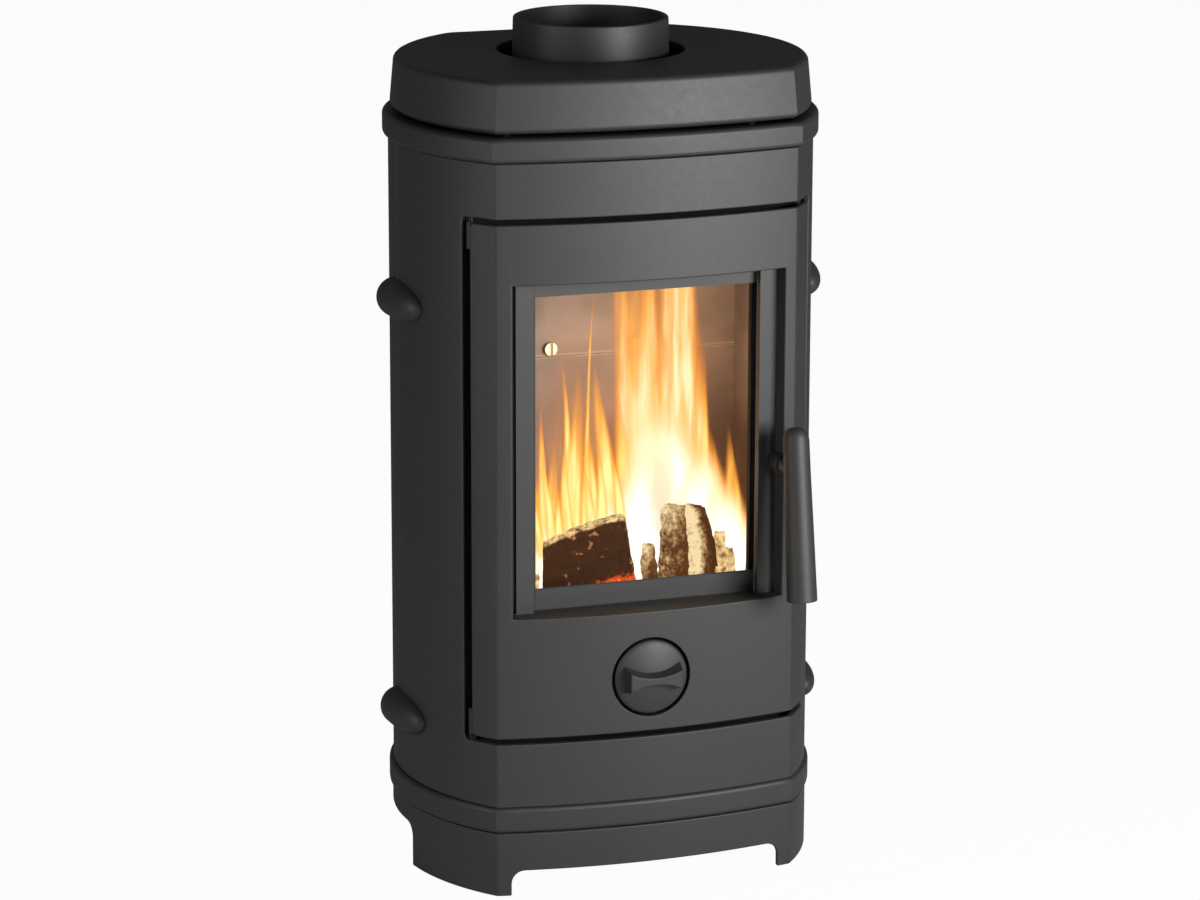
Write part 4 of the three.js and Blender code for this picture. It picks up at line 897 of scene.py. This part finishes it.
embers, tree = new_material("ash_over_glowing_coals")
place = object_place(tree)
coals = add_node(tree, 'ShaderNodeTexVoronoi', {"feature": 'DISTANCE_TO_EDGE'}, Vector=place,
                 Scale=1 / 0.012)
cloud = clouds(tree, place, 0.02, 4.0)
cracks = remap(tree, coals.outputs[0], 0.02, 0.2, 1.0, 0.0)
patch = remap(tree, cloud, 0.42, 0.6)
heat = maths(tree, 'MAXIMUM', cracks, patch)
crust = blend(tree, cloud, '#4d453f', '#a79b8d')
fire = blend(tree, heat, '#1c0500', '#ff9a30')
principled(tree, Base_Color=crust, Roughness=0.95, Emission_Color=fire, Emission_Strength=1.3)

grate_top = 244.6
bed = fresh("ember_bed", 'cube', size=2)
pick(bed)
bpy.ops.mesh.subdivide(number_cuts=70)
alone(bed)
for vertex in bed.data.vertices:
    u, t, w = vertex.co
    heap = (1 - u ** 4) * (1 - t ** 4)
    lumps = 13 * abs(noise.noise(Vector((u * 9, t * 5, 1.7))))
    pebbles = 5 * abs(noise.noise(Vector((u * 25, t * 14, 4.2))))
    top = 246 + heap * (15 + lumps + pebbles)
    vertex.co = (u * 146, -39 + t * 73, grate_top + (top - grate_top) * (w + 1) / 2)
settle(bed, "stove", embers, "fired_iron")

# ---------------------------------------------------------------- firewood
# A split log across the front of the fire, charred black-brown with its upper edge burning, and two
# upright billets leaning together beside it, with smaller burning pieces round them.
def burning_wood(name, dark, brown, fleck_colour, glow_low, hot_low, hot_high, start, full):
    """Charred wood whose UV map says where it burns: white heat across, red heat up."""
    made, tree = new_material(name)
    place = object_place(tree)
    grain_place = add_node(tree, 'ShaderNodeMapping', Vector=place, Scale=(1 / 0.03, 1 / 0.005, 1 / 0.005))
    grain = clouds(tree, grain_place.outputs[0], 1, 4.0)
    cloud = clouds(tree, place, 0.01, 3.0)
    crackle = clouds(tree, place, 0.0035, 2.0)
    tone = blend(tree, grain, dark, brown)
    fleck = remap(tree, cloud, 0.65, 0.7)
    barky = blend(tree, fleck, tone, fleck_colour)
    spot = add_node(tree, 'ShaderNodeUVMap', {"uv_map": "UVMap"})
    burn = add_node(tree, 'ShaderNodeSeparateXYZ', Vector=spot.outputs[0])
    both_noises = maths(tree, 'ADD', cloud, crackle)
    jag = maths(tree, 'MULTIPLY_ADD', both_noises, 0.9, -0.9)
    edge = maths(tree, 'ADD', burn.outputs[0], jag)
    bright = remap(tree, edge, start, full)
    red_edge = maths(tree, 'ADD', burn.outputs[1], jag)
    red = remap(tree, red_edge, 0.5, 0.85)
    ember_tone = blend(tree, red, glow_low, '#e2521c')
    hot_tone = blend(tree, bright, hot_low, hot_high)
    glowing = blend(tree, bright, ember_tone, hot_tone)
    unlit = blend(tree, bright, barky, '#050302')
    relief = bumps(tree, 0.8, 0.0015, both_noises)
    principled(tree, Base_Color=unlit, Roughness=0.9, Specular_IOR_Level=0.15, Emission_Color=glowing,
               Emission_Strength=1.0, Normal=relief)
    return made


charred = burning_wood("charred_wood", '#1a0c03', '#4c290d', '#b8784a', '#1c0c02', '#a8661f', '#ffdb9a',
                       0.42, 0.9)
aflame = burning_wood("burning_wood", '#2a160a', '#5a3416', '#8a5a30', '#4a2a10', '#c88a3c', '#ffe4ae', 0.3,
                      0.95)


def split_wood(name, shape, glow, seed, cuts, roughness):
    """A finely divided block whose points a function places from (across, inwards, up), each -1 to 1.

    A second function gives each point's white heat and red heat, which go into its UV map."""
    made = fresh(name, 'cube', size=2)
    pick(made)
    bpy.ops.mesh.subdivide(number_cuts=cuts)
    alone(made)
    heats = [glow(*vertex.co) for vertex in made.data.vertices]
    for vertex in made.data.vertices:
        vertex.co = shape(*vertex.co)
    lump_size = 9
    rough(made, roughness, lump_size, seed)
    layer = made.data.uv_layers["UVMap"].data
    for loop in made.data.loops:
        layer[loop.index].uv = heats[loop.vertex_index]
    return made


def held(value):
    return max(0, min(1, value))


def front_log(u, t, w):
    back = (t + 1) / 2
    up = (w + 1) / 2
    top = 344 + 11 * u - 3 * u * u + 4 * math.sin(math.pi * back) - 26 * back ** 2
    right = 4 + 17 * (1 - up)
    left = -81 + 15 * back
    x = left + (right - left) * (u + 1) / 2
    return Vector((x, -99 + 44 * back + 3 * (1 - up), 262 + (top - 262) * up))


def front_glow(u, t, w):
    up = (w + 1) / 2
    top_edge = held((up - 0.945) / 0.045) * 0.8
    right_end = held((u - 0.86) / 0.14) * 0.5
    lower_right = held((0.5 - up) * 5) * held((u + 0.35) * 1.2)
    return (max(top_edge, right_end), 0.85 * lower_right)


log = split_wood("split_log", front_log, front_glow, 1, 44, 1.2)
settle(log, "stove", charred, "fired_iron")


def billet(foot, head, foot_half, head_half, low, high, y, bulge=0.0, squareness=0.5):
    """An upright piece between a foot and a head at x, each with its half width."""
    def shape(u, t, w):
        up = (w + 1) / 2
        x = foot + (head - foot) * up + bulge * math.sin(math.pi * up)
        half = foot_half + (head_half - foot_half) * up ** 1.5
        return Vector((x + u * math.sqrt(1 - t * t * squareness) * half,
                       y + t * math.sqrt(1 - u * u * squareness) * half,
                       low + (high - low) * up))
    return shape


def left_face_glow(u, t, w):
    return (held(0.62 - 0.85 * u + 0.1 * w), 0.25)


def knobbly_glow(u, t, w):
    return (held(0.3 + 0.45 * max(0, w) ** 2 - 0.16 * u), 0.3)


def tip_glow(u, t, w):
    return (held(0.55 + 0.3 * w - 0.12 * u), 0.45)


billets = [
    split_wood("billet_left", billet(58, 60, 16, 12, 258, 354, -82, 3), knobbly_glow, 2, 36, 3.2),
    split_wood("billet_right", billet(86, 80, 17, 11, 258, 353, -84, 5, 0.25), left_face_glow, 3, 30, 1.8),
    split_wood("stub_front", billet(31, 28, 10, 6, 258, 322, -100), knobbly_glow, 5, 20, 2.4),
]
for piece in billets:
    settle(piece, "stove", aflame, "fired_iron")

# Coals that burn right through: golden lumps with brown hollows.
coal, tree = new_material("white_hot_coal")
place = object_place(tree)
cloud = clouds(tree, place, 0.008, 4.0)
spot = remap(tree, cloud, 0.36, 0.6)
fire = blend(tree, spot, '#9c5a18', '#ffe2a0')
principled(tree, Base_Color=colour('#080402'), Roughness=0.9, Specular_IOR_Level=0.15, Emission_Color=fire,
           Emission_Strength=1.0)
for number, (x, y, half, high) in enumerate((
    (110, -82, 9, 324), (121, -78, 8, 306), (-86, -84, 7, 296), (104, -98, 7, 294), (143, -86, 9, 290),
)):
    piece = split_wood(f"coal_{number + 1}", billet(x, x, half, half * 0.6, 256, high, y), tip_glow,
                       7 + number, 16, 2.2)
    settle(piece, "stove", coal, "fired_iron")

# ---------------------------------------------------------------- flames
# Burning gas over the wood: a white-hot heart, a tall soft column above it and orange tongues beside it.
# Each is a thin leaf whose own map fades its edges, with streaks about 9 mm wide and 110 mm long.
bpy.context.scene.cycles.transparent_max_bounces = 60


def flame(name, strength, low, middle, high, thickness, evenness):
    """A glowing material for leaves, from its thin colour to its thick one."""
    made, tree = new_material(name)
    leaf_map = add_node(tree, 'ShaderNodeUVMap', {"uv_map": "UVMap"})
    spot = add_node(tree, 'ShaderNodeSeparateXYZ', Vector=leaf_map.outputs[0])
    off_middle = maths(tree, 'MULTIPLY_ADD', spot.outputs[0], 2.0, -1.0)
    aside = maths(tree, 'ABSOLUTE', off_middle)
    body = remap(tree, aside, 1.0, 0.2, ease='SMOOTHSTEP')
    tip = remap(tree, spot.outputs[1], 1.0, 0.35, ease='SMOOTHSTEP')
    foot = remap(tree, spot.outputs[1], 0.0, 0.12, ease='SMOOTHSTEP')
    place = object_place(tree)
    streak_place = add_node(tree, 'ShaderNodeMapping', Vector=place, Scale=(1 / 0.009, 1 / 0.03, 1 / 0.11))
    streak = clouds(tree, streak_place.outputs[0], 1, 2.0)
    streaky = remap(tree, streak, 0.36, 0.64, evenness, 1.0)
    shaped = maths(tree, 'MULTIPLY', body, tip)
    footed = maths(tree, 'MULTIPLY', shaped, foot)
    licked = maths(tree, 'MULTIPLY', footed, streaky)
    solid_part = add_node(tree, 'ShaderNodeMath', {"operation": 'MULTIPLY', "use_clamp": True}, i0=licked,
                          i1=thickness)
    tone = add_node(tree, 'ShaderNodeValToRGB', Fac=licked)
    stops = tone.color_ramp.elements
    stops[0].position, stops[0].color = 0.04, colour(low)
    stops[1].position, stops[1].color = 0.85, colour(high)
    between = stops.new(0.4)
    between.color = colour(middle)
    principled(tree, Base_Color=colour('#000000'), Roughness=1.0, Specular_IOR_Level=0.0,
               Emission_Color=tone.outputs[0], Emission_Strength=strength, Alpha=solid_part.outputs[0])
    return made


def tongues(name, material, power, root, leaves):
    """Leaves from a foot (x, z) to a tip (x, z), with a half width, a place in depth and a sway.

    The power and the root give the shape of the tip: 1, 1 is sharp and 3, 0.6 is round."""
    parts = []
    for number, (foot_x, foot_z, tip_x, tip_z, half, y, sway) in enumerate(leaves):
        leaf = fresh(f"{name}_{number}", 'grid', x_subdivisions=10, y_subdivisions=44, size=2)
        for vertex in leaf.data.vertices:
            u, v = vertex.co.x, (vertex.co.y + 1) / 2
            spread = half * min(1, 0.6 + 2.2 * v) * (1 - v ** power) ** root
            swing = sway * math.sin(5.2 * v + number * 1.9) * v * (1 - 0.4 * v)
            middle = foot_x + (tip_x - foot_x) * v + swing
            vertex.co = (middle + u * spread, y + 3 * math.sin(4 * v + number) - 3 * (1 - u * u),
                         foot_z + (tip_z - foot_z) * v)
        parts.append(leaf)
    whole = parts[0]
    for leaf in parts[1:]:
        weld(whole, leaf)
    whole.name = name
    modify(whole, 'SOLIDIFY', thickness=0.3, offset=0)
    settle(whole, "stove", material, "fired_iron")
    whole.visible_diffuse = False
    whole.visible_shadow = False


white_gas = flame("white_flame", 1.5, '#ffab45', '#ffe8c0', '#fffaf2', 1.5, 0.92)
hot_gas = flame("thick_flame", 1.3, '#e07a22', '#ffb250', '#ffe6b0', 1.0, 0.55)
thin_gas = flame("thin_flame", 1.38, '#dc7820', '#ffb446', '#ffe494', 1.1, 0.55)
haze_gas = flame("flame_haze", 0.85, '#b86420', '#e89040', '#ffc070', 0.32, 0.6)
tongues("white_heart", white_gas, 3, 0.6, (
    (58, 248, 52, 485, 62, -63, 2), (33, 250, 45, 435, 46, -62, 2), (130, 233, 113, 391, 38, -61, 2),
    (100, 244, 94, 434, 38, -60, 2), (-8, 253, 6, 382, 42, -58, 2), (-54, 259, -54, 358, 34, -57, 2),
    (144, 232, 141, 350, 22, -62, 1),
))
tongues("tall_flames", hot_gas, 1, 0.3, (
    (68, 320, 73, 748, 27, -46, 4), (90, 318, 85, 717, 18, -44, 3), (43, 323, 27, 666, 26, -48, 5),
    (27, 322, 15, 660, 18, -40, 4), (56, 320, 49, 688, 16, -40, 6), (106, 308, 97, 536, 13, -50, 3),
    (94, 306, 92, 584, 22, -38, 4), (39, 311, 38, 568, 28, -42, 4),
))
tongues("thin_flames", thin_gas, 1, 0.9, (
    (-65, 272, -69, 482, 12, -54, 3), (-52, 269, -56, 440, 20, -50, 4), (-36, 268, -33, 521, 24, -52, 5),
    (-38, 297, -41, 533, 10, -40, 5), (-29, 331, -12, 603, 4, -56, 3), (8, 286, -13, 522, 23, -54, -4),
    (24, 304, 11, 485, 18, -50, 3), (-7, 265, -21, 470, 21, -48, 5), (-14, 254, -17, 435, 30, -44, 4),
    (-45, 250, -39, 421, 34, -42, 4), (-68, 253, -70, 412, 18, -46, 3), (17, 256, 2, 445, 30, -46, 4),
    (116, 297, 112, 423, 9, -54, 2), (138, 265, 127, 438, 21, -56, 3), (154, 247, 150, 373, 13, -57, 2),
    (104, 299, 99, 511, 12, -54, 3), (123, 247, 108, 443, 30, -50, 3), (-62, 310, -71, 431, 9, -66, 2),
    (-45, 313, -50, 448, 10, -67, 3), (-26, 318, -22, 466, 11, -66, -3), (-8, 322, -14, 435, 10, -67, 3),
    (-54, 310, -58, 388, 9, -68, 2), (-17, 317, -32, 416, 9, -65, 2), (11, 320, 1, 424, 10, -66, 3),
    (-72, 306, -78, 379, 8, -65, 2),
))
tongues("flame_haze", haze_gas, 3, 0.6, (
    (-16, 241, -27, 558, 54, -18, 3), (72, 231, 69, 611, 60, -12, 3), (52, 317, 47, 414, 18, -66, 1),
))

# The fire's light on the iron round it.
softbox("fire_glow", (62, -58, 515), (58, 40, 515), 0.17, 0.16, 0.46, '#ffd0ab')
softbox("low_glow", (20, -60, 380), (0, 40, 330), 0.2, 0.1, 0.2, '#ff9450')
